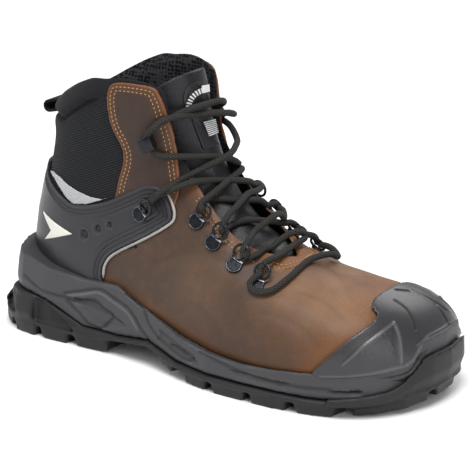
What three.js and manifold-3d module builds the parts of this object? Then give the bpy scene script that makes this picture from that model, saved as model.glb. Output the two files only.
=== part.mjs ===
// Laced ankle safety boot for the right foot, with a moulded sole, an outer toe cap and a heel shell.
// Millimetres. X runs from heel to toe, Y from the outer to the inner side of the foot, Z up.
// The origin is on the floor, under the middle of the heel.
import * as THREE from "three";
import { mergeVertices } from "three/addons/utils/BufferGeometryUtils.js";
import Module from "manifold-3d";

const wasm = await Module();
wasm.setup();

// Driving sizes of the boot.
const SOLE_LENGTH = 303;
const SOLE_WIDTH = 112; // outsole across the ball
const BALL_WIDTH = 100; // upper across the ball
const SHAFT_HEIGHT = 176; // floor to the collar's highest point
const CUP_HEIGHT = 60; // floor to the midsole's rim behind the heel
const HEEL_CENTRE = 0.123; // of the sole's length, where the origin lies
const CLEARANCE = 0.3; // between pieces that touch
const TIDY = 0.08; // slivers smaller than this are merged away after cutting

// Walls and layers.
const WALL = 2.4; // leather with its lining
const COLLAR_PADDING = 5.5; // added inside the wall at the collar
const COLLAR_ROLL = 1.8; // how far the collar's roll stands proud
const CAP_THICKNESS = 2.8;
const SHELL_THICKNESS = 2.2;
const TAB_THICKNESS = 1.4;
const PIPING = 2;
const BADGE_THICKNESS = 1.2;
const TONGUE_THICKNESS = 5;
const INSOLE_THICKNESS = 4.5;

// Sole.
const LUG_DRAFT = 0.9; // size of a lug's foot against its root
const HEEL_STEP = 15; // how far the outsole stands out behind the midsole
const CUP_LEAN = 12.5; // how far the midsole's rim stands in from the outline, behind the heel
const BUMPER = 2.4; // how far the toe bumper stands out
const RECESS = 1.6; // depth of the panels sunk in the midsole's side
const POCKET = 5; // depth of the pockets in the heel's side

// Throat, eyelets and lace.
const THROAT_GAP = 44; // between the two leather edges over the instep
const THROAT_FLARE = 7; // added to it at the collar
const TONGUE_DROP = 6; // how far the tongue lies inside the throat's edges
const LACE = 4.2;
const RING_RADIUS = 4.6;
const WIRE = 2;
const PLATE_WIDTH = 10;
const PLATE_THICKNESS = 1.5;
const HOOK_WIDTH = 8;
const HOOK_HEIGHT = 7.5;
const LOOP_WIDTH = 16;
const LOOP_REACH = 15;
const LOOP_HEIGHT = 8;
const LOOP_THICKNESS = 1.6;
const LOOP_DROOP = 0.25; // radians below level
const LOOP_SEAT = 0.2; // from the roll's depth back to where the loop's root meets the collar's edge
const RING_LEAN = 0.35; // radians that a ring leans up from its plate
const RING_REACH = 12.6; // from a plate's middle to where the lace starts its way across
const LACE_RISE = 0.8; // lace over the boot's form, between the eyelets
const BAR_SWEEP = 1.7; // sections that the lowest strand sweeps towards the toe

// Sections through the foot and shaft, from the toe tip to above the collar. Each is a plane from a point b on the
// foot bed or back line to a point t on the top line. bx and tx are shares of SOLE_LENGTH, lift (b above the foot
// bed) and tz are shares of SHAFT_HEIGHT, and mid, half and bed (middle line, half width, half width at b) are
// shares of BALL_WIDTH. wide is where along b to t the section is widest, top is its squareness, and split is the
// share of the half outline above the widest place.
const SECTIONS = [
  { bx: 0.9806, lift: 0.04, tx: 0.9806, tz: 0.165, mid: 0.09, half: 0, bed: 0, wide: 0.3, top: 2.3, split: 0.72 },
  { bx: 0.9759, lift: 0, tx: 0.9759, tz: 0.218, mid: 0.088, half: 0.19, bed: 0.15, wide: 0.3, top: 2.3, split: 0.72 },
  { bx: 0.9652, lift: 0, tx: 0.9652, tz: 0.259, mid: 0.08, half: 0.275, bed: 0.24, wide: 0.3, top: 2.3, split: 0.72 },
  { bx: 0.9437, lift: 0, tx: 0.9437, tz: 0.301, mid: 0.065, half: 0.355, bed: 0.325, wide: 0.3, top: 2.3, split: 0.72 },
  { bx: 0.9069, lift: 0, tx: 0.9099, tz: 0.338, mid: 0.035, half: 0.425, bed: 0.395, wide: 0.3, top: 2.3, split: 0.72 },
  { bx: 0.8618, lift: 0, tx: 0.868, tz: 0.363, mid: -0.005, half: 0.475, bed: 0.445, wide: 0.3, top: 2.25, split: 0.72 },
  { bx: 0.7984, lift: 0, tx: 0.8086, tz: 0.381, mid: -0.035, half: 0.5, bed: 0.47, wide: 0.3, top: 2.15, split: 0.72 },
  { bx: 0.7226, lift: 0, tx: 0.7359, tz: 0.402, mid: -0.055, half: 0.505, bed: 0.475, wide: 0.3, top: 2.1, split: 0.72 },
  { bx: 0.6499, lift: 0, tx: 0.6899, tz: 0.427, mid: -0.063, half: 0.49, bed: 0.455, wide: 0.3, top: 2.1, split: 0.72 },
  { bx: 0.5711, lift: 0, tx: 0.6479, tz: 0.459, mid: -0.063, half: 0.465, bed: 0.425, wide: 0.3, top: 2.15, split: 0.71 },
  { bx: 0.4852, lift: 0, tx: 0.608, tz: 0.512, mid: -0.055, half: 0.43, bed: 0.385, wide: 0.31, top: 2.2, split: 0.7 },
  { bx: 0.393, lift: 0, tx: 0.5742, tz: 0.569, mid: -0.042, half: 0.4, bed: 0.345, wide: 0.33, top: 2.25, split: 0.68 },
  { bx: 0.303, lift: 0, tx: 0.5476, tz: 0.623, mid: -0.027, half: 0.38, bed: 0.33, wide: 0.36, top: 2.3, split: 0.65 },
  { bx: 0.2139, lift: 0, tx: 0.5281, tz: 0.669, mid: -0.014, half: 0.367, bed: 0.32, wide: 0.4, top: 2.3, split: 0.62 },
  { bx: 0.1351, lift: 0, tx: 0.5138, tz: 0.7216, mid: -0.004, half: 0.36, bed: 0.29, wide: 0.44, top: 2.3, split: 0.58 },
  { bx: 0.089, lift: 0, tx: 0.5056, tz: 0.753, mid: 0, half: 0.36, bed: 0.205, wide: 0.46, top: 2.3, split: 0.56 },
  { bx: 0.0686, lift: 0.011, tx: 0.5005, tz: 0.7756, mid: 0, half: 0.36, bed: 0.12, wide: 0.47, top: 2.3, split: 0.55 },
  { bx: 0.0594, lift: 0.026, tx: 0.4954, tz: 0.798, mid: 0, half: 0.36, bed: 0, wide: 0.48, top: 2.3, split: 0.54 },
  { bx: 0.0542, lift: 0.102, tx: 0.4862, tz: 0.835, mid: 0, half: 0.36, bed: 0, wide: 0.48, top: 2.3, split: 0.53 },
  { bx: 0.0624, lift: 0.2045, tx: 0.4831, tz: 0.875, mid: 0, half: 0.362, bed: 0, wide: 0.48, top: 2.3, split: 0.52 },
  { bx: 0.0788, lift: 0.318, tx: 0.479, tz: 0.915, mid: 0, half: 0.368, bed: 0, wide: 0.48, top: 2.3, split: 0.51 },
  { bx: 0.0997, lift: 0.42, tx: 0.4739, tz: 0.949, mid: 0, half: 0.376, bed: 0, wide: 0.48, top: 2.3, split: 0.5 },
  { bx: 0.1096, lift: 0.511, tx: 0.4678, tz: 0.983, mid: 0, half: 0.38, bed: 0, wide: 0.48, top: 2.3, split: 0.5 },
  { bx: 0.1195, lift: 0.591, tx: 0.4596, tz: 1.017, mid: 0, half: 0.382, bed: 0, wide: 0.48, top: 2.3, split: 0.5 },
  { bx: 0.1328, lift: 0.67, tx: 0.4514, tz: 1.051, mid: 0, half: 0.382, bed: 0, wide: 0.48, top: 2.3, split: 0.5 },
  { bx: 0.1393, lift: 0.75, tx: 0.4442, tz: 1.085, mid: 0, half: 0.382, bed: 0, wide: 0.48, top: 2.3, split: 0.5 },
  { bx: 0.1427, lift: 0.83, tx: 0.4371, tz: 1.119, mid: 0, half: 0.382, bed: 0, wide: 0.48, top: 2.3, split: 0.5 },
];
const LAST = SECTIONS.length - 1;
const HEEL_CORNER = 17; // from this section on, the two sides meet behind the heel
const THROAT_START = 8.3; // section where the throat opens

// Where the collar's edge crosses the sections, from the throat (turn 0) to the back (turn 1).
const COLLAR_LINE = [
  { turn: 0, station: 21.4 },
  { turn: 0.2, station: 21.7 },
  { turn: 0.28, station: 23 },
  { turn: 0.38, station: 24.1 },
  { turn: 0.5, station: 24.5 },
  { turn: 0.6, station: 24.4 },
  { turn: 0.76, station: 24 },
  { turn: 0.9, station: 23.7 },
  { turn: 1, station: 23.5 },
];

// The sole's outline from heel to toe: x as a share of SOLE_LENGTH, outer and inner edge as shares of SOLE_WIDTH,
// step and lean, the shares of HEEL_STEP and CUP_LEAN by which the midsole and its rim lie inside the outline.
const OUTLINE = [
  { x: 0, outer: 0, inner: 0, step: 1, lean: 1 },
  { x: 0.0051, outer: -0.155, inner: 0.155, step: 0.95, lean: 0.99 },
  { x: 0.0184, outer: -0.262, inner: 0.258, step: 0.75, lean: 0.92 },
  { x: 0.0409, outer: -0.344, inner: 0.335, step: 0.45, lean: 0.78 },
  { x: 0.0839, outer: -0.393, inner: 0.378, step: 0.22, lean: 0.48 },
  { x: 0.1546, outer: -0.41, inner: 0.387, step: 0.12, lean: 0.28 },
  { x: 0.2477, outer: -0.405, inner: 0.374, step: 0.06, lean: 0.16 },
  { x: 0.3367, outer: -0.405, inner: 0.36, step: 0.05, lean: 0.08 },
  { x: 0.4186, outer: -0.433, inner: 0.36, step: 0.05, lean: 0.08 },
  { x: 0.5015, outer: -0.488, inner: 0.374, step: 0.05, lean: 0.1 },
  { x: 0.5844, outer: -0.535, inner: 0.4, step: 0.05, lean: 0.14 },
  { x: 0.6663, outer: -0.545, inner: 0.427, step: 0.05, lean: 0.15 },
  { x: 0.7421, outer: -0.54, inner: 0.449, step: 0.05, lean: 0.15 },
  { x: 0.8086, outer: -0.518, inner: 0.463, step: 0.05, lean: 0.15 },
  { x: 0.868, outer: -0.467, inner: 0.463, step: 0.05, lean: 0.14 },
  { x: 0.913, outer: -0.397, inner: 0.442, step: 0.05, lean: 0.12 },
  { x: 0.9478, outer: -0.303, inner: 0.4, step: 0.05, lean: 0.12 },
  { x: 0.9754, outer: -0.187, inner: 0.335, step: 0.05, lean: 0.12 },
  { x: 0.9928, outer: -0.065, inner: 0.24, step: 0.05, lean: 0.12 },
  { x: 1, outer: 0.088, inner: 0.088, step: 0.05, lean: 0.12 },
];

// Heights along the sole, all as shares of CUP_HEIGHT by x as a share of SOLE_LENGTH: the lugs' feet, their root,
// the top of the outsole, the foot bed and the midsole's rim.
const HEIGHTS = [
  { x: -0.1, tread: 0.1, root: 0.15, split: 0.5, bed: 0.5, rim: 1.15 },
  { x: 0, tread: 0.05, root: 0.13, split: 0.5, bed: 0.5, rim: 1.07 },
  { x: 0.0409, tread: 0, root: 0.11, split: 0.48, bed: 0.5, rim: 0.95 },
  { x: 0.0921, tread: 0, root: 0.11, split: 0.46, bed: 0.5, rim: 0.84 },
  { x: 0.1535, tread: 0, root: 0.11, split: 0.42, bed: 0.5, rim: 0.78 },
  { x: 0.2149, tread: 0, root: 0.11, split: 0.3, bed: 0.5, rim: 0.745 },
  { x: 0.2764, tread: 0, root: 0.11, split: 0.2, bed: 0.495, rim: 0.75 },
  { x: 0.3275, tread: 0.05, root: 0.14, split: 0.21, bed: 0.48, rim: 0.775 },
  { x: 0.3736, tread: 0.22, root: 0.25, split: 0.31, bed: 0.45, rim: 0.68 },
  { x: 0.4299, tread: 0.17, root: 0.2, split: 0.27, bed: 0.41, rim: 0.575 },
  { x: 0.4913, tread: 0.05, root: 0.12, split: 0.19, bed: 0.36, rim: 0.475 },
  { x: 0.5527, tread: 0, root: 0.1, split: 0.17, bed: 0.31, rim: 0.405 },
  { x: 0.6551, tread: 0, root: 0.1, split: 0.17, bed: 0.28, rim: 0.37 },
  { x: 0.7574, tread: 0, root: 0.1, split: 0.17, bed: 0.275, rim: 0.4 },
  { x: 0.8393, tread: 0, root: 0.1, split: 0.17, bed: 0.285, rim: 0.43 },
  { x: 0.8905, tread: 0.01, root: 0.11, split: 0.175, bed: 0.3, rim: 0.437 },
  { x: 0.9161, tread: 0.02, root: 0.12, split: 0.18, bed: 0.315, rim: 0.443 },
  { x: 0.9396, tread: 0.035, root: 0.13, split: 0.19, bed: 0.33, rim: 0.465 },
  { x: 0.957, tread: 0.05, root: 0.145, split: 0.205, bed: 0.345, rim: 0.58 },
  { x: 0.9724, tread: 0.07, root: 0.16, split: 0.22, bed: 0.36, rim: 0.71 },
  { x: 1.05, tread: 0.16, root: 0.23, split: 0.28, bed: 0.42, rim: 0.72 },
];
// Top of the toe bumper, as a share of CUP_HEIGHT.
const BUMPER_TOP = [
  { x: 0.8086, z: 0.17 },
  { x: 0.911, z: 0.24 },
  { x: 0.9519, z: 0.28 },
  { x: 0.9724, z: 0.37 },
  { x: 0.9867, z: 0.56 },
  { x: 1.1, z: 0.56 },
];

// Outlines on the side of the boot, x as a share of SOLE_LENGTH and z as a share of SHAFT_HEIGHT.
const SHELL_OUTLINE = [
  { x: -0.1, z: 0.1 },
  { x: -0.1, z: 0.62 },
  { x: 0.0921, z: 0.61 },
  { x: 0.1331, z: 0.56 },
  { x: 0.1791, z: 0.5 },
  { x: 0.2231, z: 0.475 },
  { x: 0.2917, z: 0.525 },
  { x: 0.348, z: 0.585 },
  { x: 0.3869, z: 0.62 },
  { x: 0.4115, z: 0.625 },
  { x: 0.4299, z: 0.61 },
  { x: 0.4473, z: 0.57 },
  { x: 0.4565, z: 0.535 },
  { x: 0.4483, z: 0.51 },
  { x: 0.3992, z: 0.452 },
  { x: 0.3275, z: 0.378 },
  { x: 0.2999, z: 0.33 },
  { x: 0.2917, z: 0.27 },
  { x: 0.2897, z: 0.1 },
];
const PIPING_FROM = { x: 0.4452, z: 0.58 }; // the piping runs from here down the shell's front edge
const ARROW_OUTLINE = [
  { x: 0.217, z: 0.4 },
  { x: 0.1208, z: 0.442 },
  { x: 0.1535, z: 0.388 },
  { x: 0.129, z: 0.343 },
];
const TAB_OUTLINE = [
  { x: 0.3224, z: 0.5 },
  { x: 0.3275, z: 0.6 },
  { x: 0.3439, z: 0.7 },
  { x: 0.3398, z: 0.75 },
  { x: 0.3224, z: 0.81 },
  { x: 0.3153, z: 0.865 },
  { x: 0.3163, z: 0.93 },
  { x: 0.3327, z: 0.97 },
  { x: 0.4002, z: 0.965 },
  { x: 0.4186, z: 0.93 },
  { x: 0.4289, z: 0.87 },
  { x: 0.4391, z: 0.8 },
  { x: 0.4514, z: 0.7 },
  { x: 0.4606, z: 0.6 },
  { x: 0.4299, z: 0.5 },
];
const CAP_EDGE = [
  { x: 1.1, z: 0.1 },
  { x: 0.8086, z: 0.1 },
  { x: 0.8209, z: 0.15 },
  { x: 0.8649, z: 0.24 },
  { x: 0.9099, z: 0.322 },
  { x: 0.9038, z: 0.336 },
  { x: 0.8884, z: 0.345 },
  { x: 0.8802, z: 0.36 },
  { x: 0.8772, z: 0.5 },
  { x: 1.1, z: 0.5 },
];

// Panels sunk in the midsole's side, and pockets in the heel's: z as a share of CUP_HEIGHT.
const PANELS = [
  [
    { x: 0.2201, z: 0.53 },
    { x: 0.2866, z: 0.53 },
    { x: 0.3685, z: 0.36 },
    { x: 0.3019, z: 0.27 },
  ],
  [
    { x: 0.4606, z: 0.34 },
    { x: 0.5015, z: 0.35 },
    { x: 0.5834, z: 0.25 },
    { x: 0.5527, z: 0.23 },
  ],
  [
    { x: 0.6346, z: 0.3 },
    { x: 0.6551, z: 0.23 },
    { x: 0.7779, z: 0.22 },
    { x: 0.7779, z: 0.29 },
  ],
  [
    { x: 0.8342, z: 0.27 },
    { x: 0.8598, z: 0.22 },
    { x: 0.911, z: 0.24 },
    { x: 0.911, z: 0.29 },
  ],
];
const HEEL_POCKETS = [
  [
    { x: 0.1228, z: 0.16 },
    { x: 0.2456, z: 0.15 },
    { x: 0.1586, z: 0.4 },
    { x: 0.1228, z: 0.43 },
  ],
  [
    { x: 0.0256, z: 0.22 },
    { x: 0.0768, z: 0.2 },
    { x: 0.0665, z: 0.44 },
    { x: 0.0358, z: 0.45 },
  ],
];

// Eyelets from the throat's foot upwards, at the plate's middle: x as a share of SOLE_LENGTH and z as a share of
// SHAFT_HEIGHT. on is the piece that a plate stands on, and dip the sections by which the lace that leaves it upwards
// keeps below the straight way.
const EYELETS = [
  { name: "ring_1", kind: "ring", x: 0.6653, z: 0.373 },
  { name: "ring_2", kind: "ring", x: 0.609, z: 0.418 },
  { name: "ring_3", kind: "ring", x: 0.5548, z: 0.475 },
  { name: "ring_4", kind: "ring", x: 0.5097, z: 0.531 },
  { name: "ankle_ring", kind: "ring", x: 0.3869, z: 0.527, on: "shell", dip: 2.1 },
  { name: "top_hook", kind: "hook", x: 0.3971, z: 0.775, on: "tab" },
];
const SIDES = [
  { name: "outer", sign: -1 },
  { name: "inner", sign: 1 },
];

const clamp = (value, low, high) => Math.min(Math.max(value, low), high);
const mix = (a, b, share) => a + (b - a) * share;
function ease(from, to, value) {
  const share = clamp((value - from) / (to - from), 0, 1);
  return share * share * (3 - 2 * share);
}
const alongSole = (share) => (share - HEEL_CENTRE) * SOLE_LENGTH;
const soleShare = (x) => x / SOLE_LENGTH + HEEL_CENTRE;

// A smooth reading of one column of a table at a row number with a fraction.
function smoothRow(rows, column, row) {
  const at = (n) => rows[clamp(n, 0, rows.length - 1)][column];
  const n = clamp(Math.floor(row), 0, rows.length - 2);
  const f = clamp(row - n, 0, 1);
  const [a, b, c, d] = [at(n - 1), at(n), at(n + 1), at(n + 2)];
  return b + 0.5 * f * (c - a + f * (2 * a - 5 * b + 4 * c - d + f * (3 * (b - c) + d - a)));
}

// A straight-line reading of a table whose column key rises.
function readTable(rows, key, column, value) {
  const n = clamp(rows.findIndex((row) => row[key] > value) - 1, 0, rows.length - 2);
  const last = value >= rows[rows.length - 1][key];
  const [a, b] = last ? rows.slice(-2) : [rows[n], rows[n + 1]];
  return mix(a[column], b[column], clamp((value - a[key]) / (b[key] - a[key]), 0, 1));
}

// A smooth reading of a table whose column x rises.
function smoothAt(rows, column, x) {
  const n = clamp(rows.findIndex((row) => row.x > x) - 1, 0, rows.length - 2);
  const last = x >= rows[rows.length - 1].x;
  return smoothRow(rows, column, last ? rows.length - 1 : n + (x - rows[n].x) / (rows[n + 1].x - rows[n].x));
}
const heightOf = (column) => (share) => CUP_HEIGHT * smoothAt(HEIGHTS, column, share);
const treadHeight = (share) => Math.max(heightOf("tread")(share), 0);
const rootHeight = heightOf("root");
const splitHeight = heightOf("split");
const bedHeight = heightOf("bed");
const rimHeight = heightOf("rim");

// The boot's form. station runs over the sections and turn from -1 (outer foot bed or back) over the top (0) to 1.
function sectionAt(station) {
  const read = (column) => smoothRow(SECTIONS, column, station);
  const bx = read("bx");
  const half = BALL_WIDTH * Math.max(read("half"), 0);
  const bed = BALL_WIDTH * (station >= HEEL_CORNER ? 0 : Math.max(read("bed"), 0));
  return {
    b: new THREE.Vector2(alongSole(bx), bedHeight(bx) + SHAFT_HEIGHT * Math.max(read("lift"), 0)),
    t: new THREE.Vector2(alongSole(read("tx")), SHAFT_HEIGHT * read("tz")),
    mid: BALL_WIDTH * read("mid"),
    half,
    bedShare: half > 0 ? clamp(bed / half, 0, 0.98) : 0,
    wide: read("wide"),
    top: read("top"),
    split: read("split"),
  };
}
const BED_SQUARENESS = 2.2;
function formPoint(station, turn) {
  const c = sectionAt(station);
  const around = Math.abs(turn);
  let along, width;
  if (around <= c.split) {
    const angle = (around / c.split) * (Math.PI / 2);
    along = c.wide + (1 - c.wide) * Math.max(Math.cos(angle), 0) ** (2 / c.top);
    width = Math.sin(angle) ** (2 / c.top);
  } else {
    const end = Math.acos(c.bedShare ** (BED_SQUARENESS / 2));
    const angle = ((around - c.split) / (1 - c.split)) * end;
    along = c.wide * (1 - (Math.sin(angle) / Math.sin(end)) ** (2 / BED_SQUARENESS));
    width = Math.max(Math.cos(angle), 0) ** (2 / BED_SQUARENESS);
  }
  const xz = c.b.clone().lerp(c.t, along);
  return new THREE.Vector3(xz.x, c.mid + Math.sign(turn) * c.half * width, xz.y);
}
function formNormal(station, turn) {
  const step = 0.02;
  const s = clamp(station, 0.3, LAST - step);
  const edge = station < HEEL_CORNER ? 1 - step : 1;
  const r = clamp(turn, -edge, edge);
  const wrap = (value) => (value > 1 ? value - 2 : value < -1 ? value + 2 : value);
  const along = formPoint(s + step, r).sub(formPoint(s - step, r));
  const round = formPoint(s, wrap(r + step)).sub(formPoint(s, wrap(r - step)));
  const normal = round.cross(along).normalize();
  if (station < 0.3) normal.lerp(new THREE.Vector3(1, 0, 0), 1 - station / 0.3).normalize();
  return normal;
}
const offsetPoint = (station, turn, out) =>
  formPoint(station, turn).addScaledVector(formNormal(station, turn), out);

// The station and turn of a place given in the side view, by the shares used in the outlines.
function placeOnSide(place, sign) {
  const target = new THREE.Vector2(alongSole(place.x), SHAFT_HEIGHT * place.z);
  const across = (station) => {
    const { b, t } = sectionAt(station);
    return t.clone().sub(b).cross(target.clone().sub(b));
  };
  let low = 1;
  let high = LAST;
  for (let n = 0; n < 40; n++) {
    const middle = (low + high) / 2;
    if (across(middle) > 0) low = middle;
    else high = middle;
  }
  const c = sectionAt(low);
  const span = c.t.clone().sub(c.b);
  const along = target.clone().sub(c.b).dot(span) / span.lengthSq();
  const rise = clamp((along - c.wide) / (1 - c.wide), 0, 1);
  const angle = Math.acos(rise ** (c.top / 2));
  return { station: low, turn: sign * c.split * (angle / (Math.PI / 2)) };
}

// A closed solid from triangles given as vectors. Points that coincide are merged, and two triangles that lie
// back to back are left out, so halves that share a seam become one body.
function solidOf(triangles) {
  const flat = new Float32Array(triangles.length * 9);
  triangles.forEach((corners, n) => corners.forEach((p, k) => p.toArray(flat, n * 9 + k * 3)));
  const merged = mergeVertices(
    new THREE.BufferGeometry().setAttribute("position", new THREE.BufferAttribute(flat, 3)),
    1e-3,
  );
  const index = merged.index.array;
  const kept = new Map();
  for (let n = 0; n < index.length; n += 3) {
    const [a, b, c] = index.slice(n, n + 3);
    if (a === b || b === c || c === a) continue;
    const key = [a, b, c].sort((p, q) => p - q).join();
    if (kept.has(key)) kept.delete(key);
    else kept.set(key, [a, b, c]);
  }
  return new wasm.Manifold(
    new wasm.Mesh({
      numProp: 3,
      vertProperties: merged.attributes.position.array,
      triVerts: new Uint32Array([...kept.values()].flat()),
    }),
  );
}
function solidOfGeometry(geometry) {
  const position = (geometry.index ? geometry.toNonIndexed() : geometry).getAttribute("position");
  const corner = (n) => new THREE.Vector3().fromBufferAttribute(position, n);
  const triangles = [];
  for (let n = 0; n < position.count; n += 3) triangles.push([corner(n), corner(n + 1), corner(n + 2)]);
  return solidOf(triangles);
}
const quad = (a, b, c, d) => [
  [a, b, c],
  [a, c, d],
];

// A wall between two grids of points, closed at its four edges.
function wallTriangles(outer, inner) {
  const triangles = [];
  const rows = outer.length - 1;
  const columns = outer[0].length - 1;
  for (let i = 0; i < rows; i++)
    for (let j = 0; j < columns; j++) {
      triangles.push(...quad(outer[i][j], outer[i][j + 1], outer[i + 1][j + 1], outer[i + 1][j]));
      triangles.push(...quad(inner[i + 1][j], inner[i + 1][j + 1], inner[i][j + 1], inner[i][j]));
    }
  for (let i = 0; i < rows; i++) {
    triangles.push(...quad(outer[i + 1][0], inner[i + 1][0], inner[i][0], outer[i][0]));
    triangles.push(...quad(outer[i][columns], inner[i][columns], inner[i + 1][columns], outer[i + 1][columns]));
  }
  for (let j = 0; j < columns; j++) {
    triangles.push(...quad(outer[0][j], inner[0][j], inner[0][j + 1], outer[0][j + 1]));
    triangles.push(...quad(outer[rows][j + 1], inner[rows][j + 1], inner[rows][j], outer[rows][j]));
  }
  return triangles;
}
const grid = (rows, columns, place) => rows.map((row) => columns.map((column) => place(row, column)));
const steps = (count) => Array.from({ length: count + 1 }, (_, n) => n / count);

// The form as two skins that meet over the vamp and behind the heel, in the same grid as the upper's, with the
// throat bridged, so that pieces cut between two forms follow the upper's facets.
const HALF_COLUMNS = 9;
const UPPER_STATIONS = [
  0, 1, 2, 3, 4, 5, 6, 7, 8, 8.4, 9, 10, 11, 12, 13, 14, 15, 16, 17, 18.4, 19.8, 21.2, 22.7, 24.2, 24.6, 25.3, 26,
];
const FORM_STATIONS = [...UPPER_STATIONS, LAST + 1.2]; // the form goes on over the collar's edge
const ROLL_START = 0.8; // of the way from the heel's corner to the collar's edge, behind the tab
function throatTurn(station) {
  const c = sectionAt(station);
  const open = Math.sqrt(clamp((station - THROAT_START) / 1.7, 0, 1));
  const gap = open * (THROAT_GAP + THROAT_FLARE * ease(13, 20, station));
  const share = clamp(gap / 2 / Math.max(c.half, 1), 0, 0.95);
  return c.split * (Math.asin(share ** (c.top / 2)) / (Math.PI / 2));
}
const collarEnd = (turn) => readTable(COLLAR_LINE, "turn", "station", turn);
function collarStation(row, turn) {
  return row <= HEEL_CORNER ? row : mix(HEEL_CORNER, collarEnd(turn), (row - HEEL_CORNER) / (LAST - HEEL_CORNER));
}
const collarShare = (station, turn) => clamp((station - HEEL_CORNER) / (collarEnd(turn) - HEEL_CORNER), 0, 1);
function gridPlace(row, share, sign) {
  const throat = throatTurn(Math.min(row, HEEL_CORNER + 3));
  const turn = mix(throat, 1, share);
  return { station: collarStation(row, turn), turn, sign };
}
const offsetPlace = ({ station, turn, sign }, out) => offsetPoint(station, sign * turn, out);
// The largest body of a solid, without the crumbs that a cut can leave.
const largest = (solid) => solid.decompose().reduce((a, b) => (a.volume() > b.volume() ? a : b));
const mirrored = (sign, triangles) => (sign > 0 ? triangles : triangles.map(([a, b, c]) => [a, c, b]));
function form(out) {
  const columns = steps(HALF_COLUMNS);
  const triangles = [];
  const rows = FORM_STATIONS.length - 1;
  const skins = SIDES.map(({ sign }) => {
    const skin = grid(FORM_STATIONS, columns, (row, share) => offsetPlace(gridPlace(row, share, sign), out));
    for (let i = 0; i < rows; i++)
      for (let j = 0; j < HALF_COLUMNS; j++) {
        const cell = quad(skin[i][j], skin[i][j + 1], skin[i + 1][j + 1], skin[i + 1][j]);
        triangles.push(...mirrored(sign, cell));
      }
    return skin;
  });
  const [outer, inner] = skins;
  // Throat: one point more in each row, over the middle.
  const ridge = FORM_STATIONS.map((row) => offsetPoint(collarStation(row, 0), 0, out));
  for (let i = 0; i < rows; i++) {
    triangles.push(...quad(outer[i][0], ridge[i], ridge[i + 1], outer[i + 1][0]));
    triangles.push(...quad(ridge[i], inner[i][0], inner[i + 1][0], ridge[i + 1]));
  }
  // Foot bed: the two lower edges joined straight across.
  for (let i = 0; i < rows; i++) {
    const [a, b, c, d] = [outer[i], inner[i], inner[i + 1], outer[i + 1]].map((line) => line[HALF_COLUMNS]);
    triangles.push(...quad(b, a, d, c));
  }
  // Top: the collar's edge closed round its middle.
  const edge = [...outer[rows].toReversed(), ridge[rows], ...inner[rows]];
  const middle = edge.reduce((sum, p) => sum.add(p), new THREE.Vector3()).divideScalar(edge.length);
  for (let j = 0; j + 1 < edge.length; j++) triangles.push([edge[j], edge[j + 1], middle]);
  return solidOf(triangles);
}

// A prism through the boot from side to side, from an outline in the side view, grown by a distance.
const sidePoints = (places, zSize) => places.map((p) => [alongSole(p.x), zSize * p.z]);
function prism(points, grow = 0) {
  const reach = 2 * SOLE_WIDTH;
  const outline = new wasm.CrossSection([points], "NonZero").offset(grow, "Round", 2, 12);
  return outline.extrude(2 * reach).rotate([90, 0, 0]).translate([0, reach, 0]);
}
const sidePrism = (places, zSize, grow) => prism(sidePoints(places, zSize), grow);
// Everything below the midsole's rim, raised by a distance.
function belowRim(raise) {
  const places = steps(60).map((share) => ({ x: mix(-0.1, 1.1, share) }));
  const rim = places.map(({ x }) => ({ x, z: rimHeight(x) + raise }));
  return sidePrism([...rim, { x: 1.1, z: -CUP_HEIGHT }, { x: -0.1, z: -CUP_HEIGHT }], 1);
}

// Upper: two halves, open at the throat, collar and foot bed. The roll round the collar's edge stands proud.
const rollStart = (turn) => mix(0.93, ROLL_START, ease(0.4, 0.52, turn));
function rollHeight(station, turn) {
  const share = collarShare(station, turn);
  const away = ease(0.28, 0.36, turn);
  const start = rollStart(turn);
  return COLLAR_ROLL * away * (ease(start, start + 0.06, share) - 1.3 * ease(0.92, 1.001, share));
}
function paddedDepth(station, turn) {
  const share = collarShare(station, turn);
  const padding = ease(0.25, 0.6, share) * (1 - 0.75 * ease(0.9, 1.001, share));
  return -WALL - COLLAR_PADDING * padding * ease(0.34, 0.5, turn);
}
function upperHalf({ sign }) {
  const columns = steps(HALF_COLUMNS);
  const skin = (side) =>
    grid(UPPER_STATIONS, columns, (row, share) => {
      const place = gridPlace(row, share, sign);
      return offsetPlace(place, side(place.station, place.turn));
    });
  return mirrored(sign, wallTriangles(skin(rollHeight), skin(paddedDepth)));
}
const upper = () => solidOf(SIDES.flatMap(upperHalf));

// Pieces that lie on the upper, cut between two forms.
const overlay = (thickness) => form(CLEARANCE + thickness).subtract(form(CLEARANCE));
const onSide = (solid, sign) => solid.decompose().find((body) => {
  const { min, max } = body.boundingBox();
  return Math.sign(min[1] + max[1]) === sign;
});
const aboveRim = (solid) => solid.subtract(belowRim(CLEARANCE)).subtract(midsoleBody(CLEARANCE));
function overlayPiece(thickness, outline) {
  const whole = overlay(thickness).intersect(sidePrism(outline, SHAFT_HEIGHT));
  return largest(aboveRim(whole).simplify(TIDY));
}
const toeCap = () => overlayPiece(CAP_THICKNESS, CAP_EDGE);
const heelShell = () => overlayPiece(SHELL_THICKNESS, SHELL_OUTLINE);
// The piping follows the shell's front edge from the wing's tip down to the midsole.
function pipingBand(spare) {
  const inner = sidePrism(SHELL_OUTLINE, SHAFT_HEIGHT, CLEARANCE - spare);
  const outer = sidePrism(SHELL_OUTLINE, SHAFT_HEIGHT, CLEARANCE + PIPING + spare);
  const { x, z } = PIPING_FROM;
  const below = [{ x, z }, { x: 1, z }, { x: 1, z: 0 }, { x: x - 0.2, z: 0 }];
  return outer.subtract(inner).intersect(sidePrism(below, SHAFT_HEIGHT));
}
const piping = (sign) => onSide(aboveRim(overlay(PIPING).intersect(pipingBand(0))), sign);
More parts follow.
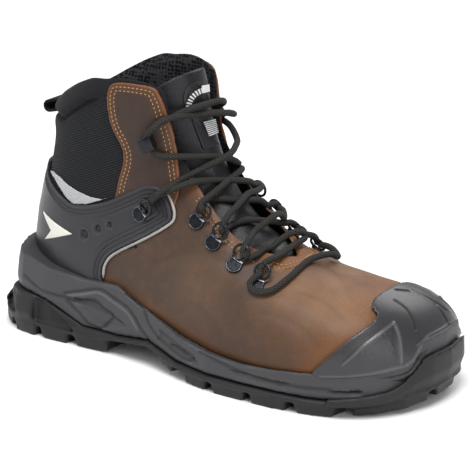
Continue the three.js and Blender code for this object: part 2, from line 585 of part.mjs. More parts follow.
// Everything below the collar's roll.
function belowRoll() {
  const edge = steps(12).map((share) => {
    const turn = mix(0.2, 0.8, share);
    const p = formPoint(mix(HEEL_CORNER, collarEnd(turn), rollStart(turn) - 0.06), turn);
    return [p.x, p.z];
  });
  const foot = [
    [edge[edge.length - 1][0], 0],
    [edge[0][0] + SHAFT_HEIGHT, 0],
    [edge[0][0] + SHAFT_HEIGHT, edge[0][1]],
  ];
  return prism([...edge, ...foot]);
}
// The tab lies on the quarter, between the shell's wing and the collar's roll.
function tab(sign) {
  const shell = sidePrism(SHELL_OUTLINE, SHAFT_HEIGHT, 2 * CLEARANCE);
  const outline = sidePrism(TAB_OUTLINE, SHAFT_HEIGHT).intersect(belowRoll()).subtract(pipingBand(2 * CLEARANCE));
  return onSide(overlay(TAB_THICKNESS).intersect(outline).subtract(shell), sign);
}
function arrow(sign) {
  const base = CLEARANCE + SHELL_THICKNESS + CLEARANCE;
  const layer = form(base + BADGE_THICKNESS).subtract(form(base));
  return onSide(layer.intersect(sidePrism(ARROW_OUTLINE, SHAFT_HEIGHT)), sign);
}

// Insole: the foot room's lowest slice.
function insole() {
  const top = steps(24).map((share) => ({ x: share, z: bedHeight(share) + INSOLE_THICKNESS }));
  return form(-WALL - 2 * CLEARANCE).intersect(sidePrism([...top, { x: 1, z: 0 }, { x: 0, z: 0 }], 1));
}

// Tongue: a padded plate that lies under the throat's edges and swells between them.
const TONGUE_TURN = 0.34;
const TONGUE_STATIONS = [7, 8, 9.1, 10.4, 11.8, 13.4, 15, 16.8, 18.6, 20.2, 21.6, 22.4, 22.9];
const tongueDrop = (station) => TONGUE_DROP * ease(THROAT_START, THROAT_START + 3.2, station);
function tongueSurface(station, turn) {
  const edge = throatTurn(Math.min(station, HEEL_CORNER + 3));
  const inside = 1 - ease(0.45, 0.9, Math.abs(turn) / Math.max(edge, 0.01));
  const opened = ease(THROAT_START + 0.4, THROAT_START + 1.6, station);
  return -WALL - 1.1 + WALL * inside * opened - tongueDrop(station);
}
function tonguePlace(station, turn, depth) {
  const end = TONGUE_STATIONS[TONGUE_STATIONS.length - 1];
  const across = Math.abs(turn) / TONGUE_TURN;
  const at = station - 0.8 * across ** 3 * ease(end - 3, end, station);
  const thinned = 1 - 0.5 * Math.max(ease(end - 1, end, station), across ** 3);
  return offsetPoint(at, turn, tongueSurface(at, turn) - depth * thinned);
}
function tongue() {
  const columns = steps(8).map((share) => (share * 2 - 1) * TONGUE_TURN);
  const padding = (station) => TONGUE_THICKNESS * mix(0.55, 1, ease(8, 18, station));
  return solidOf(
    wallTriangles(
      grid(TONGUE_STATIONS, columns, (station, turn) => tonguePlace(station, turn, 0)),
      grid(TONGUE_STATIONS, columns, (station, turn) => tonguePlace(station, turn, padding(station))),
    ),
  );
}
const BADGE_STATIONS = [17, 18, 19, 20, 21];
const BADGE_TURN = 0.1;
function badge() {
  const columns = steps(4).map((share) => (share * 2 - 1) * BADGE_TURN);
  const base = CLEARANCE + 0.6;
  const skin = (depth) => grid(BADGE_STATIONS, columns, (station, turn) => tonguePlace(station, turn, depth));
  return solidOf(wallTriangles(skin(-base - BADGE_THICKNESS), skin(-base)));
}

// Sole bodies are ladders: rings of points from heel to toe, outer and inner edge in pairs.
const HEEL_ROWS = 4; // rows of the outline's table that take a point more between them, at each end
const TOE_ROWS = 6;
function outlinePoint(row, side, inset) {
  const at = (r) => new THREE.Vector2(alongSole(smoothRow(OUTLINE, "x", r)), SOLE_WIDTH * smoothRow(OUTLINE, side, r));
  const last = OUTLINE.length - 1;
  const step = 0.05;
  const forward = at(clamp(row + step, 0, last)).sub(at(clamp(row - step, 0, last)));
  const turned = side === "outer" ? [-forward.y, forward.x] : [forward.y, -forward.x];
  const inward = new THREE.Vector2(...turned).normalize();
  if (row <= 0) inward.set(1, 0);
  if (row >= last) inward.set(-1, 0);
  return at(row).addScaledVector(inward, inset);
}
function ladder(rings) {
  const last = OUTLINE.length - 1;
  const rows = steps(2 * last).map((share) => share * last);
  const kept = rows.filter((row) => Number.isInteger(row) || row < HEEL_ROWS || row > last - TOE_ROWS);
  const count = kept.length - 1;
  const made = rings.map(({ inset, height }) =>
    kept.map((row) => {
      const place = (side) => {
        const p = outlinePoint(row, side, inset(row));
        return new THREE.Vector3(p.x, p.y, height(soleShare(p.x)));
      };
      return { outer: place("outer"), inner: place("inner") };
    }),
  );
  const triangles = [];
  for (let n = 0; n < count; n++) {
    for (let k = 0; k + 1 < made.length; k++) {
      const [low, high] = [made[k], made[k + 1]];
      triangles.push(...quad(low[n].outer, low[n + 1].outer, high[n + 1].outer, high[n].outer));
      triangles.push(...quad(high[n].inner, high[n + 1].inner, low[n + 1].inner, low[n].inner));
    }
    const [floor, roof] = [made[0], made[made.length - 1]];
    triangles.push(...quad(floor[n].inner, floor[n + 1].inner, floor[n + 1].outer, floor[n].outer));
    triangles.push(...quad(roof[n].outer, roof[n + 1].outer, roof[n + 1].inner, roof[n].inner));
  }
  return solidOf(triangles);
}
function midsoleBody(grow) {
  const foot = (row) => 1.5 + HEEL_STEP * smoothRow(OUTLINE, "step", row);
  const rim = (row) => 1.5 + CUP_LEAN * smoothRow(OUTLINE, "lean", row);
  const between = (at) => (share) => mix(splitHeight(share), rimHeight(share), at);
  return ladder([
    { inset: (row) => foot(row) + 1 - grow, height: (share) => splitHeight(share) + CLEARANCE - grow },
    { inset: (row) => foot(row) - grow, height: between(0.25) },
    { inset: (row) => mix(foot(row), rim(row), 0.4) - grow, height: between(0.65) },
    { inset: (row) => rim(row) - grow, height: (share) => rimHeight(share) + grow },
  ]);
}
function midsole() {
  const room = form(CLEARANCE);
  let made = midsoleBody(0).subtract(room.add(room.translate([0, 0, -CLEARANCE])));
  const rind = midsoleBody(1).subtract(midsoleBody(-RECESS));
  for (const panel of PANELS) made = made.subtract(rind.intersect(sidePrism(panel, CUP_HEIGHT)));
  return largest(made.simplify(TIDY));
}

// Outsole: a slab with a tall heel, a toe bumper and lugs, cut by the midsole that lies in it.
function lug(corners) {
  const places = corners.map(([x, y]) => new THREE.Vector2(alongSole(x), SOLE_WIDTH * y));
  const geometry = new THREE.ExtrudeGeometry(new THREE.Shape(places), { depth: 1, bevelEnabled: false });
  const centre = places.reduce((sum, p) => sum.add(p), new THREE.Vector2()).divideScalar(places.length);
  const position = geometry.getAttribute("position");
  for (let n = 0; n < position.count; n++) {
    const top = position.getZ(n) > 0.5;
    const draft = top ? 1 : LUG_DRAFT;
    const x = mix(centre.x, position.getX(n), draft);
    const y = mix(centre.y, position.getY(n), draft);
    const share = soleShare(x);
    position.setXYZ(n, x, y, top ? rootHeight(share) + 1 : treadHeight(share));
  }
  return solidOfGeometry(geometry);
}
// Side lugs by the stretch of sole that they take and their reach inwards, as shares of its length and width.
const SIDE_LUGS = [
  { from: 0.0665, to: 0.1279, reach: 0.17 },
  { from: 0.1433, to: 0.2098, reach: 0.16 },
  { from: 0.2272, to: 0.3122, reach: 0.22 },
  { from: 0.4606, to: 0.4913, reach: 0.09 },
  { from: 0.5271, to: 0.5834, reach: 0.13 },
  { from: 0.5988, to: 0.6755, reach: 0.15 },
  { from: 0.6878, to: 0.7677, reach: 0.15 },
  { from: 0.7861, to: 0.8618, reach: 0.15 },
];
// Chevrons along the middle, by their stretch.
const MIDDLE_LUGS = [
  { from: 0.1, to: 0.152 },
  { from: 0.1894, to: 0.2405 },
  { from: 0.5476, to: 0.609 },
  { from: 0.6346, to: 0.7011 },
  { from: 0.7267, to: 0.7932 },
  { from: 0.8188, to: 0.8802 },
];
const END_LUGS = [
  [[0.0205, -0.27], [0.0512, -0.33], [0.0614, -0.13], [0.0256, -0.12]],
  [[0.0256, -0.1], [0.0665, -0.11], [0.0768, 0], [0.0665, 0.11], [0.0256, 0.1]],
  [[0.0256, 0.12], [0.0614, 0.13], [0.0512, 0.32], [0.0205, 0.26]],
  [[0.8854, -0.4], [0.9212, -0.34], [0.9672, -0.2], [0.9877, -0.05], [0.9263, 0.02]],
  [[0.9365, 0.05], [0.9928, -0.01], [0.9877, 0.2], [0.9621, 0.32], [0.9161, 0.38]],
];
const edgeAt = (share, side) => smoothAt(OUTLINE, side, share);
function lugs() {
  const inset = 0.018;
  const made = END_LUGS.map(lug);
  for (const { from, to, reach } of SIDE_LUGS)
    for (const { name, sign } of SIDES) {
      const middle = (from + to) / 2;
      const ring = [
        ...[from, middle, to].map((x) => [x, edgeAt(x, name) - sign * inset]),
        [to + 0.008, edgeAt(to, name) - sign * reach],
        [middle + 0.014, edgeAt(middle, name) - sign * (reach + 0.035)],
        [from + 0.008, edgeAt(from, name) - sign * reach],
      ];
      made.push(lug(sign < 0 ? ring : ring.reverse()));
    }
  for (const { from, to } of MIDDLE_LUGS) {
    const middle = (edgeAt(from, "outer") + edgeAt(from, "inner")) / 2;
    const half = 0.085;
    const ring = [[from, -half], [to - 0.012, -half], [to, 0], [to - 0.012, half], [from, half], [from + 0.012, 0]];
    made.push(lug(ring.map(([x, y]) => [x, middle + y])));
  }
  return made;
}
function bumper() {
  const top = (share) => CUP_HEIGHT * readTable(BUMPER_TOP, "x", "z", share);
  const front = [{ x: 0.855, z: 0 }, { x: 1.2, z: 0 }, { x: 1.2, z: 1 }, { x: 0.855, z: 1 }];
  return ladder([
    { inset: () => 2.5, height: rootHeight },
    { inset: () => 1.2 - BUMPER, height: (share) => mix(rootHeight(share), top(share), 0.45) },
    { inset: () => 1.7 - BUMPER, height: top },
  ]).intersect(sidePrism(front, CUP_HEIGHT));
}
function outsole() {
  const body = ladder([
    { inset: () => 3, height: rootHeight },
    { inset: () => 0, height: (share) => mix(rootHeight(share), splitHeight(share), 0.4) },
    { inset: (row) => 1 + 0.8 * HEEL_STEP * smoothRow(OUTLINE, "step", row), height: splitHeight },
  ]);
  const rind = body.subtract(
    ladder([
      { inset: () => POCKET, height: (share) => rootHeight(share) - 1 },
      { inset: () => POCKET, height: (share) => splitHeight(share) + 1 },
    ]),
  );
  let made = body.add(bumper());
  for (const one of lugs()) made = made.add(one);
  for (const pocket of HEEL_POCKETS) made = made.subtract(rind.intersect(sidePrism(pocket, CUP_HEIGHT)));
  return largest(made.subtract(midsoleBody(CLEARANCE)).simplify(TIDY));
}

// Pull loop: a band of webbing folded into a flat ring behind the collar.
function pullLoop() {
  const back = formPoint(collarEnd(1), 1);
  const ring = (inset) => {
    const half = LOOP_HEIGHT / 2 - inset;
    const reach = (LOOP_REACH - LOOP_HEIGHT) / 2;
    const shape = new THREE.Path();
    shape.absarc(reach, 0, half, -Math.PI / 2, Math.PI / 2, false);
    shape.absarc(-reach, 0, half, Math.PI / 2, (3 * Math.PI) / 2, false);
    return shape.getPoints(5);
  };
  const shape = new THREE.Shape(ring(0));
  shape.holes.push(new THREE.Path(ring(LOOP_THICKNESS)));
  const geometry = new THREE.ExtrudeGeometry(shape, { depth: LOOP_WIDTH, bevelEnabled: false });
  geometry.rotateX(Math.PI / 2).translate(-LOOP_REACH / 2, LOOP_WIDTH / 2, 0);
  geometry.rotateY(-LOOP_DROOP);
  geometry.translate(back.x - COLLAR_ROLL + LOOP_SEAT, 0, back.z);
  return solidOfGeometry(geometry);
}

// Eyelets stand on the upper, with their local Z along its normal and local X towards the throat.
function eyeletFrame(one, sign, lift) {
  const { station, turn } = placeOnSide(one, sign);
  const normal = formNormal(station, turn);
  const towards = formPoint(station, turn * 0.8).sub(formPoint(station, turn));
  towards.addScaledVector(normal, -towards.dot(normal)).normalize();
  const frame = new THREE.Matrix4().makeBasis(towards, normal.clone().cross(towards), normal);
  return frame.setPosition(offsetPoint(station, turn, lift));
}
// Ring: a rounded plate, with a wire ring that leans up from the plate's end nearest the throat.
function ring() {
  const half = PLATE_WIDTH / 2;
  const outline = new THREE.Shape();
  outline.moveTo(half * 0.9, -half * 0.75);
  outline.lineTo(half * 0.9, half * 0.75);
  outline.lineTo(half * 0.2, half);
  outline.absarc(-half * 0.2, 0, half, Math.PI / 2, (3 * Math.PI) / 2, false);
  outline.lineTo(half * 0.2, -half);
  const options = { depth: PLATE_THICKNESS, bevelEnabled: false, curveSegments: 2 };
  const plate = new THREE.ExtrudeGeometry(outline, options);
  const loop = new THREE.TorusGeometry(RING_RADIUS, WIRE / 2, 4, 8);
  loop.rotateY(-RING_LEAN).translate(half + RING_RADIUS * 0.55, 0, PLATE_THICKNESS + RING_RADIUS * 0.5);
  return solidOfGeometry(plate).add(solidOfGeometry(loop));
}
// Hook: a plate with a lip turned back over it, open away from the throat.
function hook() {
  const half = HOOK_WIDTH / 2;
  const lip = HOOK_HEIGHT - PLATE_THICKNESS;
  const wall = half - PLATE_THICKNESS;
  const profile = [
    [-half, 0],
    [half, 0],
    [half, HOOK_HEIGHT],
    [-half, HOOK_HEIGHT],
    [-half, lip],
    [wall, lip],
    [wall, PLATE_THICKNESS],
    [-half, PLATE_THICKNESS],
  ];
  const section = new wasm.CrossSection([profile]);
  return section.extrude(HOOK_WIDTH).rotate([90, 0, 0]).translate([0, half, 0]);
}
const CARRIERS = { shell: SHELL_THICKNESS, tab: TAB_THICKNESS };
const eyeletLift = (one) => CLEARANCE + 0.2 + (CARRIERS[one.on] ?? 0);
function eyelet(one, sign) {
  const solid = one.kind === "hook" ? hook() : ring();
  return solid.transform(eyeletFrame(one, sign, eyeletLift(one)).toArray());
}

// Lace: each crossing is two strands joined where they cross over the tongue, clear of the eyelets at both ends.
// A strand that leaves an eyelet upwards starts above its middle, and one that arrives from below ends under it.
function laceEnd(one, sign, upwards) {
  const frame = eyeletFrame(one, sign, eyeletLift(one));
  const [ahead, up] = one.kind === "hook" ? [HOOK_WIDTH, LACE * 0.7] : [RING_REACH, RING_RADIUS * 0.55];
  const aside = (upwards ? -sign : sign) * LACE * 0.7;
  return new THREE.Vector3(ahead, aside, up).applyMatrix4(frame);
}
function cordAlong(points) {
  const circle = new THREE.Shape().absarc(0, 0, LACE / 2, 0, 2 * Math.PI, false);
  const geometry = new THREE.ExtrudeGeometry(new THREE.Shape(circle.getPoints(3).slice(0, -1)), {
    steps: 8,
    extrudePath: new THREE.CatmullRomCurve3(points),
    bevelEnabled: false,
  });
  return solidOfGeometry(geometry);
}
// A place on the lace's middle line: over the leather and its overlays, or down on the tongue inside the throat.
function laceAt(station, turn, height) {
  const edge = Math.max(throatTurn(Math.min(station, HEEL_CORNER + 3)), 0.01);
  const inside = 1 - ease(0.3, 0.8, Math.abs(turn) / edge);
  const out = LACE / 2 + LACE_RISE + mix(SHELL_THICKNESS, -tongueDrop(station), inside);
  return offsetPoint(station, turn, out + height);
}
// The lace's middle line at shares of the way from one place to another.
function laceLine(from, to, height, sweep = 0) {
  return [0.2, 0.35, 0.5, 0.65, 0.8].map((share) => {
    const bend = (1 - 4 * (share - 0.5) ** 2) ** 2;
    return laceAt(mix(from.station, to.station, share) - sweep * bend, mix(from.turn, to.turn, share), height * bend);
  });
}
function strand(low, high, sign, height) {
  const line = laceLine(placeOnSide(low, sign), placeOnSide(high, -sign), height, low.dip);
  return cordAlong([laceEnd(low, sign, true), ...line, laceEnd(high, -sign, false)]);
}
const crossing = (low, high) => strand(low, high, 1, 0).add(strand(low, high, -1, LACE * 0.8));
// The bar joins the lowest rings and sweeps forward over the vamp.
function laceBar() {
  const [one] = EYELETS;
  const [from, to] = SIDES.map(({ sign }) => placeOnSide(one, sign));
  const ends = SIDES.map(({ sign }) => {
    const beside = new THREE.Vector3(PLATE_WIDTH / 2, sign * PLATE_WIDTH * 0.85, LACE / 2 + LACE_RISE);
    return beside.applyMatrix4(eyeletFrame(one, sign, eyeletLift(one)));
  });
  return cordAlong([ends[0], ...laceLine(from, to, 0, BAR_SWEEP), ends[1]]);
}
// Tie: one end of the lace goes from the outer hook over the tongue, and the other lies under it.
function laceTie() {
  const hook = EYELETS[EYELETS.length - 1];
  const [from, to] = SIDES.map(({ sign }) => placeOnSide(hook, sign));
  const { station } = from;
  const over = [
    laceEnd(hook, -1, true),
    laceAt(station + 0.3, from.turn * 0.55, 1),
    laceAt(station + 0.5, 0, LACE),
    laceAt(station + 0.7, 0.11, LACE),
  ];
  const under = [
    laceEnd(hook, 1, true),
    laceAt(station + 0.2, to.turn * 0.55, 1),
    laceAt(station + 0.1, 0, 1),
    laceAt(station + 0.2, -0.12, 1.5),
  ];
  return cordAlong(over).add(cordAlong(under));
}

function meshOf(name, solid, material) {
  const { vertProperties, triVerts, numProp } = solid.getMesh();
  const places = new Float32Array((vertProperties.length / numProp) * 3);
  for (let n = 0; n * 3 < places.length; n++)
    places.set(vertProperties.subarray(n * numProp, n * numProp + 3), n * 3);
  const geometry = new THREE.BufferGeometry();
  geometry.setAttribute("position", new THREE.BufferAttribute(places, 3));
  geometry.setIndex(new THREE.BufferAttribute(new Uint32Array(triVerts), 1));
  geometry.computeVertexNormals();
  const mesh = new THREE.Mesh(geometry, material);
  mesh.name = name;
  return mesh;
}
const finish = (color, roughness, metalness = 0) => new THREE.MeshStandardMaterial({ color, roughness, metalness });
const FINISHES = {
  leather: finish(0x5a3d2b, 0.55),
  cap: finish(0x4a4a4c, 0.5),
  shell: finish(0x2f2f33, 0.45),
  piping: finish(0xa9a9a6, 0.4),
  arrow: finish(0xe6dfcb, 0.5),
  fabric: finish(0x1e1f23, 0.9),
  midsole: finish(0x505154, 0.6),
  outsole: finish(0x2a2a2c, 0.7),
  metal: finish(0x1c1e22, 0.3, 0.8),
  lace: finish(0x34332f, 0.85),
};

const boot = new THREE.Group();
boot.add(
  meshOf("outsole", outsole(), FINISHES.outsole),
  meshOf("midsole", midsole(), FINISHES.midsole),
  meshOf("upper", upper(), FINISHES.leather),
  meshOf("toe_cap", toeCap(), FINISHES.cap),
  meshOf("heel_shell", heelShell(), FINISHES.shell),
  meshOf("tongue", tongue(), FINISHES.fabric),
  meshOf("tongue_badge", badge(), FINISHES.shell),
  meshOf("insole", insole(), FINISHES.fabric),
  meshOf("pull_loop", pullLoop(), FINISHES.fabric),
);
for (const { name, sign } of SIDES) {
  boot.add(meshOf(`piping_${name}`, piping(sign), FINISHES.piping));
  boot.add(meshOf(`quarter_tab_${name}`, tab(sign), FINISHES.leather));
  boot.add(meshOf(`arrow_${name}`, arrow(sign), FINISHES.arrow));
  for (const one of EYELETS) boot.add(meshOf(`${one.name}_${name}`, eyelet(one, sign), FINISHES.metal));
}
boot.add(meshOf("lace_bar", laceBar(), FINISHES.lace), meshOf("lace_tie", laceTie(), FINISHES.lace));
for (let n = 0; n + 1 < EYELETS.length; n++)
  boot.add(meshOf(`lace_crossing_${n + 1}`, crossing(EYELETS[n], EYELETS[n + 1]), FINISHES.lace));

export default boot;
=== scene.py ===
import math

import bmesh
import bpy
import numpy as np
from mathutils import Matrix, Vector
from mathutils.bvhtree import BVHTree


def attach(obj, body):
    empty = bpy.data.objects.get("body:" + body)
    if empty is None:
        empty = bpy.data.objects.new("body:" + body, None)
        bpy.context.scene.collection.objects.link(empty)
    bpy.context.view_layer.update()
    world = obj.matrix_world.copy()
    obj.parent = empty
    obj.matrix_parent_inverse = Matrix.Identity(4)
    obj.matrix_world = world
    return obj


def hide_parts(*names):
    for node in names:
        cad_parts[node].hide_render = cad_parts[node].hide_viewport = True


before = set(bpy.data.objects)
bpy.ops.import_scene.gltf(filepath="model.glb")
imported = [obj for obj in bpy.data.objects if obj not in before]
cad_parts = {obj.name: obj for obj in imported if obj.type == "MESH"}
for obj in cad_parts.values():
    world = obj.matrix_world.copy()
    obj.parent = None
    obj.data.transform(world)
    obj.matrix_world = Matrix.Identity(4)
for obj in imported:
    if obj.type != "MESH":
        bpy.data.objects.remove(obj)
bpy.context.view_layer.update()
MM = 0.001
SOLE_LENGTH = 303 * MM
SHAFT_HEIGHT = 176 * MM
HEEL_CENTRE = 0.123
OUTER, INNER = -1, 1
SIDES = {"outer": OUTER, "inner": INNER}


# Camera, as fitted to the photograph.
PHOTO = 470  # pixels on a side
AZIMUTH, ELEVATION = math.radians(34), math.radians(18.7)
TARGET = Vector((0.1247, 0, 0.075))
DISTANCE = 1.4
FOCAL = 2340.8  # pixels
CENTRE = (238, 239)  # where the optical axis meets the picture
BACK = Vector(
    (
        math.sin(AZIMUTH) * math.cos(ELEVATION),
        -math.cos(AZIMUTH) * math.cos(ELEVATION),
        math.sin(ELEVATION),
    )
)
RIGHT = Vector((math.cos(AZIMUTH), math.sin(AZIMUTH), 0))
UP = BACK.cross(RIGHT)
EYE = TARGET + BACK * DISTANCE


def make_camera():
    data = bpy.data.cameras.new("camera")
    data.sensor_width = 36
    data.lens = FOCAL / PHOTO * data.sensor_width
    data.shift_x = -(CENTRE[0] - PHOTO / 2) / PHOTO
    data.shift_y = (CENTRE[1] - PHOTO / 2) / PHOTO
    camera = bpy.data.objects.new("camera", data)
    camera.matrix_world = Matrix.Translation(EYE) @ Matrix((RIGHT, UP, BACK)).transposed().to_4x4()
    bpy.context.scene.collection.objects.link(camera)
    bpy.context.scene.camera = camera


def sight(x, y):
    """Direction from the camera through a pixel of the photograph."""
    return (-BACK + RIGHT * ((x - CENTRE[0]) / FOCAL) - UP * ((y - CENTRE[1]) / FOCAL)).normalized()


def seen_at_y(x, y, across):
    """The place on a pixel's line of sight where the boot's Y is across."""
    line = sight(x, y)
    return EYE + line * ((across - EYE.y) / line.y)


make_camera()


# Meshes.
def merged(node):
    made = bmesh.new()
    made.from_mesh(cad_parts[node].data)
    bmesh.ops.remove_doubles(made, verts=made.verts, dist=2e-6)
    return made


def piece(name, made, nodes=()):
    mesh = bpy.data.meshes.new(name)
    made.to_mesh(mesh)
    made.free()
    mesh.shade_smooth()
    body = bpy.data.objects.new(name, mesh)
    bpy.context.scene.collection.objects.link(body)
    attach(body, "root")
    if nodes:
        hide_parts(*nodes)
    return body


def settle(body):
    """Applies the modifiers."""
    graph = bpy.context.evaluated_depsgraph_get()
    shown = body.evaluated_get(graph)
    made = bpy.data.meshes.new_from_object(shown, preserve_all_data_layers=True, depsgraph=graph)
    body.modifiers.clear()
    old, body.data = body.data, made
    bpy.data.meshes.remove(old)
    made.name = body.name
    made.shade_smooth()
    return body


def modify(body, name, kind, **settings):
    modifier = body.modifiers.new(name, kind)
    for key, value in settings.items():
        setattr(modifier, key, value)


def places_of(mesh):
    flat = np.empty(len(mesh.vertices) * 3)
    mesh.vertices.foreach_get("co", flat)
    return flat.reshape(-1, 3)


def normals_of(mesh):
    flat = np.empty(len(mesh.vertices) * 3)
    mesh.vertex_normals.foreach_get("vector", flat)
    return flat.reshape(-1, 3)


def push(body, out):
    """Moves each vertex along its normal by its own distance."""
    mesh = body.data
    moved = places_of(mesh) + normals_of(mesh) * np.asarray(out)[:, None]
    mesh.vertices.foreach_set("co", moved.ravel())
    mesh.update()


def tree_of(*bodies):
    made = bmesh.new()
    for body in bodies:
        made.from_mesh(body.data)
    tree = BVHTree.FromBMesh(made)
    made.free()
    return tree


def on_side(tree, x, z, sign):
    """The place and normal where a line across the boot, at x and z, meets its side."""
    place, normal, _, _ = tree.ray_cast(Vector((x, sign * 0.2, z)), Vector((0, -sign, 0)))
    return place, normal


def seen_on(tree, x, y):
    """The place and normal that a pixel of the photograph shows."""
    place, normal, _, _ = tree.ray_cast(EYE, sight(x, y))
    return place, normal


# Lines and outlines.
def side_place(x, z):
    return (x - HEEL_CENTRE) * SOLE_LENGTH, z * SHAFT_HEIGHT


def along(x):
    """A share of the sole's length as the CAD's X."""
    return (x - HEEL_CENTRE) * SOLE_LENGTH


def side_places(table):
    return [side_place(x, z) for x, z in table]


def rounded(points, closed=False, each=5):
    """A smooth line through the points."""
    p = [np.asarray(q, float) for q in points]
    n = len(p)
    at = (lambda k: p[k % n]) if closed else (lambda k: p[min(max(k, 0), n - 1)])
    line = []
    for k in range(n if closed else n - 1):
        a, b, c, d = at(k - 1), at(k), at(k + 1), at(k + 2)
        for f in np.arange(each) / each:
            bend = 2 * a - 5 * b + 4 * c - d + f * (3 * (b - c) + d - a)
            line.append(b + 0.5 * f * (c - a + f * bend))
    if not closed:
        line.append(p[-1])
    return np.array(line)


def spaced(line, pitch):
    """Places along a line, a pitch apart, with what else its rows hold after a place."""
    line = np.asarray(line, float)
    lengths = np.linalg.norm(np.diff(line[:, :3], axis=0), axis=1)
    at = np.concatenate([[0], np.cumsum(lengths)])
    stops = np.arange(0, at[-1], pitch)
    return np.stack([np.interp(stops, at, line[:, k]) for k in range(line.shape[1])], 1)


def line_distance(points, line, closed=False):
    line = np.asarray(line, float)
    ends = np.roll(line, -1, 0) if closed else line[1:]
    best = np.full(len(points), 1e9)
    for a, b in zip(line, ends):
        way = b - a
        share = np.clip((points - a) @ way / max(way @ way, 1e-18), 0, 1)
        best = np.minimum(best, np.linalg.norm(points - a - share[:, None] * way, axis=1))
    return best


def within(points, outline):
    inside = np.zeros(len(points), bool)
    for (ax, ay), (bx, by) in zip(outline, np.roll(outline, -1, 0)):
        if ay == by:
            continue
        crosses = (points[:, 1] > min(ay, by)) & (points[:, 1] <= max(ay, by))
        inside ^= crosses & (points[:, 0] < ax + (points[:, 1] - ay) * (bx - ax) / (by - ay))
    return inside


def depth_in(points, outline):
    """Distance to an outline, positive inside it."""
    return line_distance(points, outline, closed=True) * np.where(within(points, outline), 1, -1)


def ease(low, high, value):
    share = np.clip((value - low) / (high - low), 0, 1)
    return share * share * (3 - 2 * share)


def bump(value, width):
    return np.exp(-((value / width) ** 2))


def side_view(points):
    return points[:, [0, 2]]


# Node work.
def link_in(tree, node, key, value):
    socket = node.inputs[key]
    if isinstance(value, bpy.types.NodeSocket):
        tree.links.new(value, socket)
    else:
        socket.default_value = value


def node(tree, kind, inputs=None, **settings):
    made = tree.nodes.new("ShaderNode" + kind)
    for key, value in settings.items():
        setattr(made, key, value)
    for key, value in (inputs or {}).items():
        link_in(tree, made, key, value)
    return made


def sums(tree, operation, a, b=0.0, clamp=False):
    return node(tree, "Math", {0: a, 1: b}, operation=operation, use_clamp=clamp).outputs[0]


def times(tree, a, b, clamp=False):
    return sums(tree, "MULTIPLY", a, b, clamp)


def blended(tree, share, a, b):
    made = node(tree, "Mix", data_type="RGBA")
    for key, value in ((0, share), (6, a), (7, b)):
        link_in(tree, made, key, value)
    return made.outputs[2]


def ranged(tree, value, low, high, to_low=0.0, to_high=1.0):
    inputs = {"Value": value, "From Min": low, "From Max": high, "To Min": to_low, "To Max": to_high}
    return node(tree, "MapRange", inputs).outputs[0]


def object_places(tree):
    return node(tree, "TexCoord").outputs["Object"]


def noise(tree, scale, detail=3.0, vector=None):
    inputs = {"Vector": vector or object_places(tree), "Scale": scale, "Detail": detail}
    return node(tree, "TexNoise", inputs).outputs[0]


def group(name, inputs, outputs, fill):
    """A node group with named number inputs. fill gets its tree and inputs, and returns its outputs."""
    tree = bpy.data.node_groups.new(name, "ShaderNodeTree")
    for key, value in inputs.items():
        tree.interface.new_socket(key, in_out="INPUT", socket_type="NodeSocketFloat").default_value = value
    for key in outputs:
        tree.interface.new_socket(key, in_out="OUTPUT", socket_type="NodeSocketFloat")
    source = tree.nodes.new("NodeGroupInput")
    for socket, value in zip(tree.nodes.new("NodeGroupOutput").inputs, fill(tree, source.outputs)):
        tree.links.new(value, socket)
    return tree


def use(tree, group_tree, **inputs):
    made = node(tree, "Group", node_tree=group_tree)
    for key, value in inputs.items():
        link_in(tree, made, key, value)
    return made.outputs


def fill_grain(tree, given):
    places = object_places(tree)
    cells = node(
        tree, "TexVoronoi", {"Vector": places, "Scale": given["Scale"]}, feature="DISTANCE_TO_EDGE"
    ).outputs[0]
    furrows = ranged(tree, cells, 0, 0.25)
    rough = noise(tree, times(tree, given["Scale"], 0.35), 4.0, places)
    return [sums(tree, "ADD", times(tree, furrows, 0.5), rough), furrows]


# Pale convex edges in patches: partly wear, partly painted highlight.
def fill_edge_wear_and_highlight(tree, given):
    raised = ranged(tree, node(tree, "NewGeometry").outputs["Pointiness"], 0.51, 0.58)
    patches = ranged(tree, noise(tree, given["Scale"], 5.0), 0.4, 0.65)
    return [times(tree, times(tree, raised, patches), given["Amount"], clamp=True)]


def fill_stripes(tree, given):
    """Parallel ribs across a turned direction in the boot's side view."""
    part = node(tree, "SeparateXYZ", {0: object_places(tree)}).outputs
    level = times(tree, part["X"], sums(tree, "COSINE", given["Angle"]))
    up = times(tree, part["Z"], sums(tree, "SINE", given["Angle"]))
    turns = times(tree, given["Ribs"], 2 * math.pi)
    wave = times(tree, sums(tree, "ADD", level, up), turns)
    return [ranged(tree, sums(tree, "SINE", wave), -1, 1)]


def fill_plait(tree, given):
    """Two families of threads that cross along a cord, from its own UV."""
    part = node(tree, "SeparateXYZ", {0: node(tree, "TexCoord").outputs["UV"]}).outputs
    ahead = times(tree, part["X"], given["Pitches"])
    turn = times(tree, part["Y"], given["Threads"])
    crossed = [
        sums(tree, "SINE", times(tree, sums(tree, how, ahead, turn), 2 * math.pi))
        for how in ("ADD", "SUBTRACT")
    ]
    return [ranged(tree, sums(tree, "MAXIMUM", *crossed), -0.2, 1)]


GRAIN = group("leather_grain", {"Scale": 700.0}, ["Height", "Furrows"], fill_grain)
EDGE_WEAR_AND_HIGHLIGHT = group("edge_wear_and_highlight", {"Scale": 60.0, "Amount": 1.0}, ["Edges"], fill_edge_wear_and_highlight)
STRIPES = group("ribs", {"Ribs": 600.0, "Angle": 0.0}, ["Height"], fill_stripes)
PLAIT = group("plait", {"Pitches": 250.0, "Threads": 8.0}, ["Height"], fill_plait)


LINEAR_UP_TO = 10 / 255


def as_light(share):
    """A screen's brightness as light."""
    return ((share + 0.055) / 1.055) ** 2.4 if share > LINEAR_UP_TO else share / 12.92


def colour(red, green, blue):
    """A colour as a picture shows it, from 0 to 255."""
    return [*(as_light(c / 255) for c in (red, green, blue)), 1]


